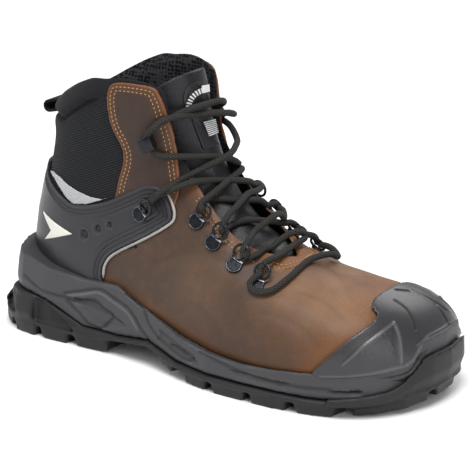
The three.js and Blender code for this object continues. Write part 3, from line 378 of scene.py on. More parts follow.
def material(name, roughness, **settings):
    made = bpy.data.materials.new(name)
    made.use_nodes = True
    tree = made.node_tree
    shader = tree.nodes["Principled BSDF"]
    shader.inputs["Roughness"].default_value = roughness
    for key, value in settings.items():
        shader.inputs[key.replace("_", " ")].default_value = value
    return made, tree, shader


def relief(tree, shader, height, depth):
    """Depth in metres between the lowest and highest of a height from 0 to 1."""
    made = node(tree, "Bump", {"Height": height, "Distance": depth, "Strength": 1.0})
    tree.links.new(made.outputs[0], shader.inputs["Normal"])


def attribute(tree, name):
    return node(tree, "Attribute", attribute_name=name).outputs["Fac"]


def shaded(shade, share):
    """A colour made lighter or darker."""
    return colour(*(c * share for c in shade))


def leather(name, dark, warm, tan, pale):
    """Oiled leather in clouds, with attributes for warm and cut places, for pale places of painted sheen, and
    for lined places darkened with painted shade.
    """
    made, tree, shader = material(name, 0.48, Coat_Weight=0.05, Coat_Roughness=0.35, Specular_IOR_Level=0.32)
    grain = use(tree, GRAIN, Scale=900.0)
    clouds = ranged(tree, noise(tree, 22.0, 5.0), 0.3, 0.72)
    streaks = ranged(tree, noise(tree, 160.0, 6.0), 0.45, 0.75)
    rubbed, cut, painted_sheen_share = (attribute(tree, key) for key in ("warm", "cut", "pale"))
    # Painted sheen where the attribute pale is set.
    painted_sheen = times(tree, painted_sheen_share, ranged(tree, clouds, 0, 1, 0.8, 1.0), clamp=True)
    warmth = times(tree, rubbed, ranged(tree, clouds, 0, 1, 0.75, 1.1), clamp=True)
    # Darker along the attribute line: painted shade in creases and in the groove under the collar roll, and a
    # darker band near the sole.
    lined = times(tree, attribute(tree, "line"), 0.45, clamp=True)
    furrowed = times(tree, sums(tree, "SUBTRACT", 1.0, grain["Furrows"]), 0.25)
    base = blended(tree, clouds, colour(*dark), shaded(dark, 1.28))
    base = blended(tree, painted_sheen, base, colour(*pale))
    base = blended(tree, warmth, base, colour(*warm))
    base = blended(tree, times(tree, streaks, 0.08), base, shaded(warm, 1.3))
    base = blended(tree, lined, base, shaded(dark, 0.6))
    base = blended(tree, furrowed, base, shaded(dark, 0.7))
    base = blended(tree, cut, base, colour(*tan))
    tree.links.new(base, shader.inputs["Base Color"])
    tree.links.new(ranged(tree, clouds, 0, 1, 0.42, 0.6), shader.inputs["Roughness"])
    relief(tree, shader, grain["Height"], 0.00012)
    return made


def rubber(name, shade, light, roughness, grain_scale=1500.0, grain_depth=0.00005, pale_edge_amount=0.5, gloss=0.0):
    """Moulded rubber or plastic: a fine matt skin, paler along its edges from wear and painted highlight,
    with faint dust, and with painted shade and highlight along its attribute line.
    """
    made, tree, shader = material(
        name, roughness, Specular_IOR_Level=0.35, Coat_Weight=gloss, Coat_Roughness=0.3
    )
    worn_and_lit_edges = use(tree, EDGE_WEAR_AND_HIGHLIGHT, Scale=45.0, Amount=pale_edge_amount)
    skin = use(tree, GRAIN, Scale=grain_scale)
    clouds = ranged(tree, noise(tree, 30.0, 5.0), 0.3, 0.7)
    # Painted shade where the attribute line is above zero (grooves, pits, sunk panels, undersides) and
    # painted highlight where it is below zero (ridges, rims).
    painted_shade_and_highlight = attribute(tree, "line")
    base = blended(tree, times(tree, clouds, 0.35), colour(*shade), shaded(shade, 1.15))
    # Paler edges: partly wear, partly painted highlight.
    base = blended(tree, worn_and_lit_edges["Edges"], base, colour(*light))
    base = blended(tree, times(tree, painted_shade_and_highlight, 0.8, clamp=True), base, shaded(shade, 0.3))
    base = blended(tree, times(tree, painted_shade_and_highlight, -0.45, clamp=True), base, shaded(light, 1.15))
    tree.links.new(base, shader.inputs["Base Color"])
    tree.links.new(ranged(tree, clouds, 0, 1, roughness - 0.06, roughness + 0.08), shader.inputs["Roughness"])
    relief(tree, shader, skin["Height"], grain_depth)
    return made


def textile(name, shade, light, ribs, angle, depth):
    """Ribbed or plain cloth with loose fibres."""
    made, tree, shader = material(name, 0.85, Sheen_Weight=0.04, Specular_IOR_Level=0.15)
    rib = use(tree, STRIPES, Ribs=ribs, Angle=angle)["Height"]
    cross = use(tree, STRIPES, Ribs=ribs * 1.6, Angle=angle + 1.4)["Height"]
    fibres = noise(tree, 2500.0, 2.0)
    woven = times(tree, rib, sums(tree, "ADD", times(tree, cross, 0.4), 0.6))
    height = sums(tree, "ADD", woven, times(tree, fibres, 0.3))
    # Near black along the attribute line: painted shade in creases and grooves.
    lined = times(tree, attribute(tree, "line"), 0.85, clamp=True)
    # Rib crests take the light colour and furrows the shade colour: painted highlight and shade on the weave.
    base = blended(tree, rib, colour(*shade), colour(*light))
    base = blended(tree, lined, base, colour(3, 3, 3))
    tree.links.new(base, shader.inputs["Base Color"])
    relief(tree, shader, height, depth)
    return made


def plait_cloth(name, shade, light):
    made, tree, shader = material(name, 0.75, Specular_IOR_Level=0.25)
    thread = use(tree, PLAIT, Pitches=420.0, Threads=7.0)["Height"]
    # Thread crests take the light colour and the hollows between them the shade colour: painted highlight and
    # shade on the plait.
    base = blended(tree, thread, colour(*shade), colour(*light))
    tree.links.new(base, shader.inputs["Base Color"])
    relief(tree, shader, thread, 0.0003)
    return made


def lining_mesh(name):
    """Open spacer mesh: small dark holes in rows."""
    made, tree, shader = material(name, 0.9, Specular_IOR_Level=0.15)
    inputs = {"Vector": object_places(tree), "Scale": 420.0, "Randomness": 0.35}
    cells = node(tree, "TexVoronoi", inputs).outputs[0]
    holes = ranged(tree, cells, 0.35, 0.55)
    tree.links.new(blended(tree, holes, colour(8, 8, 9), colour(44, 44, 47)), shader.inputs["Base Color"])
    relief(tree, shader, holes, 0.0005)
    return made


def painted_metal(name, shade, light, metallic, roughness):
    made, tree, shader = material(name, roughness, Metallic=metallic)
    rubbed = ranged(tree, noise(tree, 500.0, 4.0), 0.5, 0.75)
    tree.links.new(blended(tree, rubbed, colour(*shade), colour(*light)), shader.inputs["Base Color"])
    finish = ranged(tree, noise(tree, 400.0), 0.3, 0.7, roughness - 0.08, roughness + 0.1)
    tree.links.new(finish, shader.inputs["Roughness"])
    return made


BROWN = leather("brown_leather", (54, 39, 28), (118, 73, 36), (110, 68, 34), (136, 103, 77))
TAB_BROWN = leather("tab_leather", (46, 32, 25), (92, 56, 30), (112, 68, 34), (70, 54, 44))
SHELL_BLACK = rubber("shell_plastic", (35, 35, 38), (64, 64, 68), 0.36)
CAP_GREY = rubber("cap_rubber", (40, 40, 42), (88, 88, 90), 0.32, gloss=0.3)
MIDSOLE_GREY = rubber("midsole_foam", (55, 55, 57), (98, 98, 100), 0.44, grain_scale=2200.0)
OUTSOLE_DARK = rubber("outsole_rubber", (24, 24, 26), (52, 52, 54), 0.5, grain_depth=0.00008)
PIPING_GREY = rubber("piping_grey", (146, 144, 140), (176, 174, 170), 0.4, pale_edge_amount=0.2)
ARROW_CREAM = rubber("arrow_cream", (204, 202, 194), (222, 220, 214), 0.45, pale_edge_amount=0.2)
RIBBED = textile("ribbed_cloth", (10, 11, 13), (38, 39, 42), 700.0, 1.97, 0.0005)
COLLAR_CLOTH = textile("collar_cloth", (22, 22, 25), (30, 30, 34), 1300.0, 0.4, 0.0001)
WEBBING = textile("webbing", (7, 7, 8), (15, 15, 16), 500.0, 1.2, 0.0004)
BED_CLOTH = textile("insole_cloth", (44, 45, 48), (66, 67, 70), 800.0, 0.9, 0.0002)
LINING = lining_mesh("lining_mesh")
TONGUE_SKIN = rubber(
    "tongue_leather", (18, 18, 22), (40, 40, 45), 0.3, grain_scale=1300.0, grain_depth=0.00012, pale_edge_amount=0.1
)
LABEL_BLACK = rubber("label_rubber", (28, 28, 31), (66, 66, 70), 0.35, pale_edge_amount=0.3)
LABEL_PALE = rubber("label_bars", (196, 197, 196), (220, 220, 220), 0.5, pale_edge_amount=0.1)
INLAY_GREY = rubber(
    "reflective_trim", (160, 161, 163), (188, 189, 191), 0.5, grain_scale=500.0, grain_depth=0.0003, pale_edge_amount=0.1
)
BLACK_METAL = painted_metal("black_metal", (20, 23, 28), (34, 38, 45), 0.5, 0.24)
RIM_METAL = painted_metal("rim_metal", (78, 82, 88), (120, 125, 131), 0.9, 0.28)
SILVER = painted_metal("bright_metal", (150, 154, 160), (190, 194, 199), 1.0, 0.22)
CORD = plait_cloth("lace_plait", (14, 14, 14), (54, 53, 50))
THREAD = plait_cloth("stitch_thread", (156, 118, 74), (214, 182, 132))


def clothe(body, *materials):
    body.data.materials.clear()
    for one in materials:
        body.data.materials.append(one)


def keep_number(body, name, values):
    """Stores a number on each vertex for the material."""
    body.data.attributes.new(name, "FLOAT", "POINT").data.foreach_set("value", np.asarray(values, np.float32))


# Outlines in the side view, as in the CAD: x as a share of the sole's length, z of the shaft's height.
SHELL_OUTLINE = [
    (-0.1, 0.1), (-0.1, 0.62), (0.0921, 0.615), (0.1331, 0.575), (0.1791, 0.53), (0.2231, 0.508),
    (0.2917, 0.537), (0.348, 0.585), (0.3869, 0.62), (0.4115, 0.625), (0.4299, 0.61), (0.4473, 0.57),
    (0.4565, 0.535), (0.4483, 0.51), (0.3992, 0.452), (0.3275, 0.378), (0.2999, 0.33), (0.2917, 0.27),
    (0.2897, 0.1),
]
TAB_OUTLINE = [
    (0.3224, 0.5), (0.3275, 0.6), (0.3439, 0.7), (0.3398, 0.75), (0.3224, 0.81), (0.3153, 0.865),
    (0.3163, 0.93), (0.3327, 0.97), (0.4002, 0.965), (0.4186, 0.93), (0.4289, 0.87), (0.4391, 0.8),
    (0.4514, 0.7), (0.4606, 0.6), (0.4299, 0.5),
]
ARROW_OUTLINE = [(0.217, 0.4), (0.1208, 0.442), (0.1535, 0.388), (0.129, 0.343)]
CAP_EDGE = [
    (1.1, 0.05), (0.8086, 0.05), (0.8209, 0.15), (0.8649, 0.24), (0.9045, 0.312), (0.9025, 0.33),
    (0.8884, 0.345), (0.8802, 0.36), (0.8772, 0.5), (1.1, 0.5),
]
SHELL_THICKNESS, CAP_THICKNESS, TAB_THICKNESS = 2.5 * MM, 3.1 * MM, 1.7 * MM


# Upper: the CAD's wall, rounded. The core is a line through the foot, from the toes to above the collar.
FOOT_CORE = np.array(
    [(0.235, 0.004, 0.04), (0.17, -0.006, 0.045), (0.07, 0, 0.07), (0.058, 0, 0.12), (0.066, 0, 0.2)]
)
LOOKS_AWAY = 0.15  # cosine between a face's normal and the way from the core


def faces_outwards(mesh):
    """For each face, whether it looks away from the foot, and its centre."""
    count = len(mesh.polygons)
    centre, normal = np.empty(count * 3), np.empty(count * 3)
    mesh.polygons.foreach_get("center", centre)
    mesh.polygons.foreach_get("normal", normal)
    centre, normal = centre.reshape(-1, 3), normal.reshape(-1, 3)
    nearest, best = np.zeros_like(centre), np.full(count, 1e9)
    for a, b in zip(FOOT_CORE, FOOT_CORE[1:]):
        share = np.clip((centre - a) @ (b - a) / ((b - a) @ (b - a)), 0, 1)
        place = a + share[:, None] * (b - a)
        far = np.linalg.norm(centre - place, axis=1)
        nearest[far < best] = place[far < best]
        best = np.minimum(best, far)
    away = ((centre - nearest) / best[:, None] * normal).sum(1)
    return away > LOOKS_AWAY, centre


def make_upper():
    made = merged("upper")
    bmesh.ops.join_triangles(made, faces=made.faces, angle_face_threshold=1.3, angle_shape_threshold=1.6)
    body = piece("boot_upper", made, ["upper"])
    modify(body, "rounding", "SUBSURF", levels=3, render_levels=3)
    return settle(body)


upper = make_upper()
outwards, face_centre = faces_outwards(upper.data)


def make_skin():
    """The upper's outside alone, as the form that moulded pieces are laid on."""
    made = bmesh.new()
    made.from_mesh(upper.data)
    made.faces.ensure_lookup_table()
    inside = [face for face in made.faces if not outwards[face.index]]
    bmesh.ops.delete(made, geom=inside, context="FACES")
    mesh = bpy.data.meshes.new("skin")
    made.to_mesh(mesh)
    made.free()
    return mesh


SKIN = make_skin()


def drawn_out(made, faces, way):
    """Extrudes faces along a vector into a closed form."""
    grown = bmesh.ops.extrude_face_region(made, geom=faces)["geom"]
    moved = [one for one in grown if isinstance(one, bmesh.types.BMVert)]
    bmesh.ops.translate(made, verts=moved, vec=way)
    bmesh.ops.recalc_face_normals(made, faces=made.faces)


CUT_MARGIN = 6 * MM
CUT_REACH = 150 * MM  # to each side of the boot's middle


def cutter(outline):
    """A solid through the boot from side to side."""
    made = bmesh.new()
    face = made.faces.new([made.verts.new((x, -CUT_REACH, z)) for x, z in outline])
    drawn_out(made, [face], (0, 2 * CUT_REACH, 0))
    mesh = bpy.data.meshes.new("cutter")
    made.to_mesh(mesh)
    made.free()
    body = bpy.data.objects.new("cutter", mesh)
    bpy.context.scene.collection.objects.link(body)
    return body


def moulded(name, outline, low, high, cell, nodes, side=0, rounds=3, floor=None):
    """A plate laid on the skin between two heights, cut to an outline in the side view and softened."""
    made = bmesh.new()
    made.from_mesh(SKIN)
    outline = np.asarray(outline)
    (x0, z0), (x1, z1) = outline.min(0) - CUT_MARGIN, outline.max(0) + CUT_MARGIN
    if floor is not None:
        z0 = max(z0, floor)
    cuts = [
        ((x0, 0, 0), (-1, 0, 0)),
        ((x1, 0, 0), (1, 0, 0)),
        ((0, 0, z0), (0, 0, -1)),
        ((0, 0, z1), (0, 0, 1)),
    ]
    if side:
        cuts.append(((0, 0, 0), (0, -side, 0)))
    for place, away in cuts:
        geometry = made.verts[:] + made.edges[:] + made.faces[:]
        bmesh.ops.bisect_plane(
            made, geom=geometry, dist=1e-6, plane_co=place, plane_no=away, clear_outer=True
        )
    made.normal_update()
    for vertex in made.verts:
        vertex.co += vertex.normal * low
    body = piece(name, made, nodes)
    knife = cutter(outline)
    modify(body, "thickness", "SOLIDIFY", thickness=high - low, offset=1)
    modify(body, "outline", "BOOLEAN", operation="INTERSECT", object=knife, solver="MANIFOLD")
    modify(body, "even", "REMESH", mode="VOXEL", voxel_size=cell)
    modify(body, "soften", "SMOOTH", factor=0.5, iterations=rounds)
    settle(body)
    bpy.data.objects.remove(knife)
    return body


def on_both_sides(tree, pixels):
    """A line of the photograph as places and normals on the outer side, and its mirror on the inner side."""
    outer = [found for found in (seen_on(tree, x, y) for x, y in pixels) if found[0] is not None]
    inner = [on_side(tree, place.x, place.z, INNER) for place, _ in outer]
    return outer, [found for found in inner if found[0] is not None]


def score(body, lines):
    """Presses grooves and raises ridges along lines of the photograph: height and width in millimetres.
    Stores painted shade for the grooves and painted highlight for the ridges in the attribute line.
    """
    tree = tree_of(body)
    places = places_of(body.data)
    out, marked = np.zeros(len(places)), np.zeros(len(places))
    for pixels, height, width in lines:
        far = np.full(len(places), 1.0)
        for line in on_both_sides(tree, rounded(pixels, each=4)):
            if len(line) > 1:
                far = np.minimum(far, line_distance(places, [place[:] for place, _ in line]))
        share = bump(far, width * MM)
        out += height * MM * share
        # Painted shade for grooves, painted highlight for ridges.
        marked -= share * np.sign(height)
    push(body, out)
    if "line" in body.data.attributes:
        old = body.data.attributes["line"]
        values = np.empty(len(places), np.float32)
        old.data.foreach_get("value", values)
        body.data.attributes.remove(old)
        marked += values
    keep_number(body, "line", np.clip(marked, -1, 1))


def crease(body, lines):
    """Presses soft troughs and ridges into the leather. Gives the share of painted shade in each trough."""
    tree = tree_of(body)
    places = places_of(body.data)
    out, marked = np.zeros(len(places)), np.zeros(len(places))
    for pixels, height, width in lines:
        line = rounded(pixels, each=4)
        for found in on_both_sides(tree, line):
            if len(found) > 1:
                far = line_distance(places, [place[:] for place, _ in found])
                out += height * MM * bump(far, width * MM)
                # Painted shade in each trough.
                marked += (0.4 if height < 0 else 0) * bump(far, 0.35 * width * MM)
    push(body, out)
    return marked


# Stitches, as short beads along a line on a surface.
STITCH_PITCH, STITCH_LENGTH, STITCH_THICKNESS = 2.6 * MM, 1.75 * MM, 0.34 * MM


def stitches(name, lines):
    """lines holds rows of places and normals."""
    bead_form = bmesh.new()
    bmesh.ops.create_uvsphere(bead_form, u_segments=6, v_segments=5, radius=1)
    bead = bpy.data.meshes.new("bead")
    bead_form.to_mesh(bead)
    bead_form.free()
    made = bmesh.new()
    for line in lines:
        places = np.array([place for place, _ in line])
        normals = np.array([normal for _, normal in line])
        stops = spaced(np.hstack([places, normals]), STITCH_PITCH)
        for n, stop in enumerate(stops[:-1]):
            place, normal = Vector(stop[:3]), Vector(stop[3:]).normalized()
            ahead = Vector(stops[n + 1][:3]) - place
            ahead = (ahead - normal * ahead.dot(normal)).normalized()
            turn = Matrix((ahead, normal.cross(ahead), normal)).transposed().to_4x4()
            size = Matrix.Diagonal((STITCH_LENGTH / 2, STITCH_THICKNESS, STITCH_THICKNESS * 0.8, 1))
            where = Matrix.Translation(place + normal * STITCH_THICKNESS * 0.25) @ turn @ size
            bead.transform(where)
            made.from_mesh(bead)
            bead.transform(where.inverted())
    bpy.data.meshes.remove(bead)
    body = piece(name, made)
    clothe(body, THREAD)


def inset_line(outline, inset):
    """A closed line that lies inside an outline by a distance."""
    outline = np.asarray(outline)
    ahead = np.roll(outline, -1, 0) - np.roll(outline, 1, 0)
    ahead /= np.linalg.norm(ahead, axis=1)[:, None]
    turned = np.stack([-ahead[:, 1], ahead[:, 0]], 1)
    area = np.sum(outline[:, 0] * np.roll(outline[:, 1], -1) - np.roll(outline[:, 0], -1) * outline[:, 1])
    line = outline + turned * inset * np.sign(area)
    return line[depth_in(line, outline) > inset * 0.9]


def laid(tree, line, sign):
    """A side-view line as places and normals on one side of a piece."""
    found = [on_side(tree, x, z, sign) for x, z in line]
    return [(place, normal) for place, normal in found if place is not None]


# Heel shell.
SHELL_FLOOR, CUP_TOP = 30 * MM, 45 * MM
# Each groove: millimetres in from the shell's edge, millimetres deep, and whether it is on the wings alone.
SHELL_GROOVES = ((2.8, 1.0, False), (5.2, 1.0, False), (7.6, 0.9, True))
GROOVE_WIDTH, DEEPEST = 0.6 * MM, 1.4 * MM
WINGS_FROM, WINGS_TO = along(0.26), along(0.32)
# Each pit: its pixel in the photograph and its size in millimetres.
SHELL_PITS = ((84, 234, 2.9), (97.5, 228.5, 2.4), (109.5, 224.5, 1.9))


def make_shell():
    outline = rounded(side_places(SHELL_OUTLINE), closed=True, each=4)
    body = moulded(
        "heel_shell_moulding", outline, 0.2 * MM, SHELL_THICKNESS, 0.8 * MM, ["heel_shell"],
        floor=SHELL_FLOOR,
    )
    view = side_view(places_of(body.data))
    inside = depth_in(view, outline)
    out, marked = np.zeros(len(view)), np.zeros(len(view))
    above_cup = view[:, 1] > CUP_TOP
    wings = ease(WINGS_FROM, WINGS_TO, view[:, 0])
    for at, deep, on_wings in SHELL_GROOVES:
        groove = bump(inside - at * MM, GROOVE_WIDTH) * above_cup * (wings if on_wings else 1)
        out -= deep * MM * groove
        # Painted shade in each groove.
        marked += 0.9 * groove
    # A painted highlight just inside the shell's edge.
    marked -= 0.25 * bump(inside - 1.2 * MM, GROOVE_WIDTH) * above_cup
    tree = tree_of(body)
    for x, y, size in SHELL_PITS:
        place, _ = seen_on(tree, x, y)
        far = np.linalg.norm(view - np.array([place.x, place.z]), axis=1)
        pit = 1 - ease(size * 0.6 * MM, size * 1.1 * MM, far)
        rim = bump(far - size * 1.35 * MM, GROOVE_WIDTH)
        out += 0.35 * MM * rim - 1.6 * MM * pit
        # Painted shade in each pit, painted highlight on its rim.
        marked += 0.75 * pit - 0.3 * rim
    push(body, np.maximum(out, -DEEPEST))
    keep_number(body, "line", np.clip(marked, -1, 1))
    clothe(body, SHELL_BLACK)
    return body


shell = make_shell()


def make_arrow(name, sign):
    body = moulded(
        f"arrow_plate_{name}", side_places(ARROW_OUTLINE), SHELL_THICKNESS - 0.3 * MM,
        SHELL_THICKNESS + 0.9 * MM, 0.45 * MM, [f"arrow_{name}"], side=sign, rounds=2,
    )
    clothe(body, ARROW_CREAM)


# Piping along the shell's front edge.
def make_piping(name, sign):
    line = [p for p in rounded(side_places(SHELL_OUTLINE[10:]), each=6) if p[1] > CUP_TOP]
    grown = np.array(line)
    ahead = np.gradient(grown, axis=0)
    ahead /= np.linalg.norm(ahead, axis=1)[:, None]
    grown = grown + np.stack([-ahead[:, 1], ahead[:, 0]], 1) * 1.3 * MM
    tree = BVHTree.FromPolygons([v.co for v in SKIN.vertices], [p.vertices[:] for p in SKIN.polygons])
    run = [place + normal * 0.8 * MM for place, normal in laid(tree, grown, sign)]
    body = tube(f"piping_line_{name}", run, 0.9 * MM, [f"piping_{name}"], sides=10)
    clothe(body, PIPING_GREY)


def tube(name, line, radius, nodes=(), sides=12, closed_ends=True):
    """A round cord along a line, with its UV's x along it in metres and y round it."""
    line = np.array([tuple(p) for p in line])
    made = bmesh.new()
    count = len(line) - 1
    bmesh.ops.create_grid(made, x_segments=count, y_segments=sides, size=0.5, calc_uvs=True)
    ahead = np.gradient(line, axis=0)
    ahead /= np.linalg.norm(ahead, axis=1)[:, None]
    across = np.zeros_like(line)
    first = np.cross(ahead[0], (0.3, 0.2, 1))
    across[0] = first / np.linalg.norm(first)
    for n in range(1, len(line)):
        moved = across[n - 1] - ahead[n] * (across[n - 1] @ ahead[n])
        across[n] = moved / np.linalg.norm(moved)
    aside = np.cross(ahead, across)
    length = np.concatenate([[0], np.cumsum(np.linalg.norm(np.diff(line, axis=0), axis=1))])
    layer = made.loops.layers.uv.verify()
    for vertex in made.verts:
        n = round((vertex.co.x + 0.5) * count)
        for loop in vertex.link_loops:
            loop[layer].uv = (length[n], vertex.co.y + 0.5)
    for vertex in made.verts:
        n = round((vertex.co.x + 0.5) * count)
        angle = (vertex.co.y + 0.5) * 2 * math.pi
        near_end = min(n, count - n)
        size = radius * (0.6 if near_end == 0 and closed_ends else 1)
        vertex.co = line[n] + (across[n] * math.cos(angle) + aside[n] * math.sin(angle)) * size
    bmesh.ops.remove_doubles(made, verts=made.verts, dist=1e-6)
    bmesh.ops.holes_fill(made, edges=made.edges, sides=sides + 1)
    bmesh.ops.recalc_face_normals(made, faces=made.faces)
    return piece(name, made, nodes)


for side_name, side_sign in SIDES.items():
    make_arrow(side_name, side_sign)
    make_piping(side_name, side_sign)


# Granular reflective inlay above the shell's notch.
INLAY_LOW = [
    (51.4, 170), (55.5, 178), (60, 186.5), (67, 197.5), (74, 204), (87, 204), (100, 200.5), (109, 197.5),
]
INLAY_HIGH = [(102, 199), (90, 196.3), (77.5, 190.6), (67.5, 183.8), (60, 176.3), (54, 171)]


def make_inlay(name, sign):
    tree = tree_of(upper)
    seen = [seen_on(tree, x, y)[0] for x, y in [*INLAY_LOW, *INLAY_HIGH]]
    outline = [(place.x, place.z) for place in seen if place is not None]
    body = moulded(
        f"reflective_inlay_{name}", outline, 0.0, 1.0 * MM, 0.5 * MM, [], side=sign, rounds=2
    )
    push(body, np.random.default_rng(4).uniform(-0.15, 0.15, len(body.data.vertices)) * MM)
    clothe(body, INLAY_GREY)


for side_name, side_sign in SIDES.items():
    make_inlay(side_name, side_sign)


# Toe cap. Each line: its pixels, and its height and width in millimetres.
CAP_LINES = [
    ([(393.8, 323.1), (380, 334.5), (362, 348), (342.5, 365)], 0.7, 0.7),
    ([(393.8, 323.1), (398, 331), (401, 345), (401.3, 362.5)], 0.6, 0.8),
    ([(395, 300.6), (405, 308.1), (412.5, 318.8), (416, 329)], -0.7, 0.8),
    ([(436.3, 303.8), (445, 317.5), (450, 330), (453, 346)], -0.7, 0.8),
    ([(396.3, 289.4), (408.8, 290.6)], -1.0, 0.8),
    ([(320, 376.3), (348.8, 376.3), (380, 372.5), (407.5, 365)], 0.7, 0.7),
    ([(407.5, 365), (415, 357.5), (422.5, 342.5), (430, 335), (447.5, 326.3)], 0.7, 0.8),
    (
        [(327.5, 384), (340, 385), (376.3, 381), (404, 375), (414, 367), (424, 351), (433, 342), (449, 335)],
        -0.7, 0.8,
    ),
]
ROUGH_TRIANGLE = ((393, 326), (347, 365), (399, 361))


def make_cap():
    outline = side_places(CAP_EDGE)
    body = moulded(
        "toe_cap_moulding", outline, 0.2 * MM, CAP_THICKNESS, 0.8 * MM, ["toe_cap"], floor=20 * MM
    )
    score(body, CAP_LINES)
    places = places_of(body.data)
    tree = tree_of(body)
    corners = [seen_on(tree, x, y)[0] for x, y in ROUGH_TRIANGLE]
    inside = depth_in(side_view(places), [(p.x, p.z) for p in corners])
    rough = np.random.default_rng(9).uniform(0, 0.3, len(places)) * MM
    push(body, np.where(inside > 0, rough, 0))
    clothe(body, CAP_GREY)
    return body


cap = make_cap()


# Tabs over the ankle, with their raw edges and stitching.
def make_tab(name, sign):
    outline = rounded(side_places(TAB_OUTLINE), closed=True, each=5)
    body = moulded(
        f"ankle_tab_{name}", outline, 0.0, TAB_THICKNESS, 0.6 * MM, [f"quarter_tab_{name}"],
        side=sign, rounds=2,
    )
    view = side_view(places_of(body.data))
    inside = depth_in(view, outline)
    sunk = 1 - ease(0.51 * SHAFT_HEIGHT, 0.62 * SHAFT_HEIGHT, view[:, 1])
    push(body, -0.25 * MM * bump(inside - 3.6 * MM, 1.2 * MM))
    places = places_of(body.data)
    places[:, 1] -= sign * 1.9 * MM * sunk
    body.data.vertices.foreach_set("co", places.ravel())
    body.data.update()
    keep_number(body, "warm", 0.8 * bump(inside - 1.5 * MM, 3.2 * MM))
    keep_number(body, "cut", (1 - ease(0.3 * MM, 0.9 * MM, inside)) * (1 - sunk))
    clothe(body, TAB_BROWN)
    tree = tree_of(body)
    rows = []
    for inset in (2.4, 4.8):
        line = inset_line(rounded(outline, closed=True, each=2), inset * MM)
        line = np.roll(line, -int(np.argmin(line[:, 1])), 0)
        line = line[line[:, 1] > 0.585 * SHAFT_HEIGHT]
        rows.append(laid(tree, line, sign))
    stitches(f"tab_stitches_{name}", rows)
    return body


tabs = {side_name: make_tab(side_name, side_sign) for side_name, side_sign in SIDES.items()}


# Pixel, size in millimetres and share of the places where a painted sheen makes the leather pale.
PAINTED_SHEEN_PLACES = [
    (280, 292, 15, 0.5), (300, 288, 20, 0.9), (350, 303, 24, 1.0), (325, 300, 22, 0.9), (335, 283, 18, 0.9),
    (372, 308, 18, 0.9), (388, 295, 12, 0.8), (200, 285, 22, 0.25),
]
# Each crease: its pixels, and its height and width in millimetres.
CREASES = [
    ([(152, 262), (178, 254), (204, 252), (226, 262)], -0.5, 5.0),
    ([(160, 276), (190, 268), (216, 272)], 0.4, 5.0),
    ([(262, 312), (284, 318), (304, 330), (318, 346)], -0.5, 4.0),
    ([(276, 300), (300, 306), (322, 320), (334, 338)], 0.45, 5.0),
    ([(296, 292), (322, 300), (342, 318)], -0.45, 4.5),
    ([(186, 300), (204, 312), (220, 332)], -0.4, 5.0),
    ([(330, 268), (342, 280), (352, 300)], -0.35, 4.0),
]


# Tan leaf at the foot of the throat, and its rows of stitches.
LEAF_CORNERS = [
    (262, 256), (273, 258.5), (296, 257), (299, 250), (306, 247.5), (316, 247.5), (321, 251), (318, 257),
    (308, 263), (296, 268), (282, 271), (270, 268), (263, 262),
]
LEAF_ROWS = [
    [(267, 263), (273, 266), (283, 268.3), (296, 265.3), (307, 260.5), (315, 255.5), (318, 251.5)],
    [(269, 260.5), (275, 263), (284, 265), (295, 262.5), (305, 258), (312, 253)],
]


def depth_in_leaf(places, outward):
    """Distance into the leaf, seen from above, on both sides of the throat's foot."""
    tree = tree_of(upper)
    seen = [place for place, _ in (seen_on(tree, x, y) for x, y in LEAF_CORNERS) if place is not None]
    corners = np.array([place[:2] for place in seen])
    middle = np.max(corners[:, 1])
    mirrored = np.stack([corners[:, 0], 2 * middle - corners[:, 1]], 1)
    inside = np.maximum(depth_in(places[:, :2], corners), depth_in(places[:, :2], mirrored))
    return np.where((outward > 0) & (places[:, 2] > 0.05), inside, -1.0)


# Upper's zones: leather, ribbed cloth, collar cloth and lining.
COLLAR_LINE = ((59.4, 120), (71, 112.5), (90, 101), (107.5, 95), (112, 91))
COLLAR_SIDE = -37 * MM
ROLL_ENDS = along(0.27), along(0.31)
THROAT_TOP = 0.62 * SHAFT_HEIGHT
# Where the leather meets the sole: heights in millimetres along the boot, also in millimetres.
SOLE_EDGE_X, SOLE_EDGE_Z = (-50, 50, 100, 150, 200, 250), (60, 45, 35, 24, 23, 27)


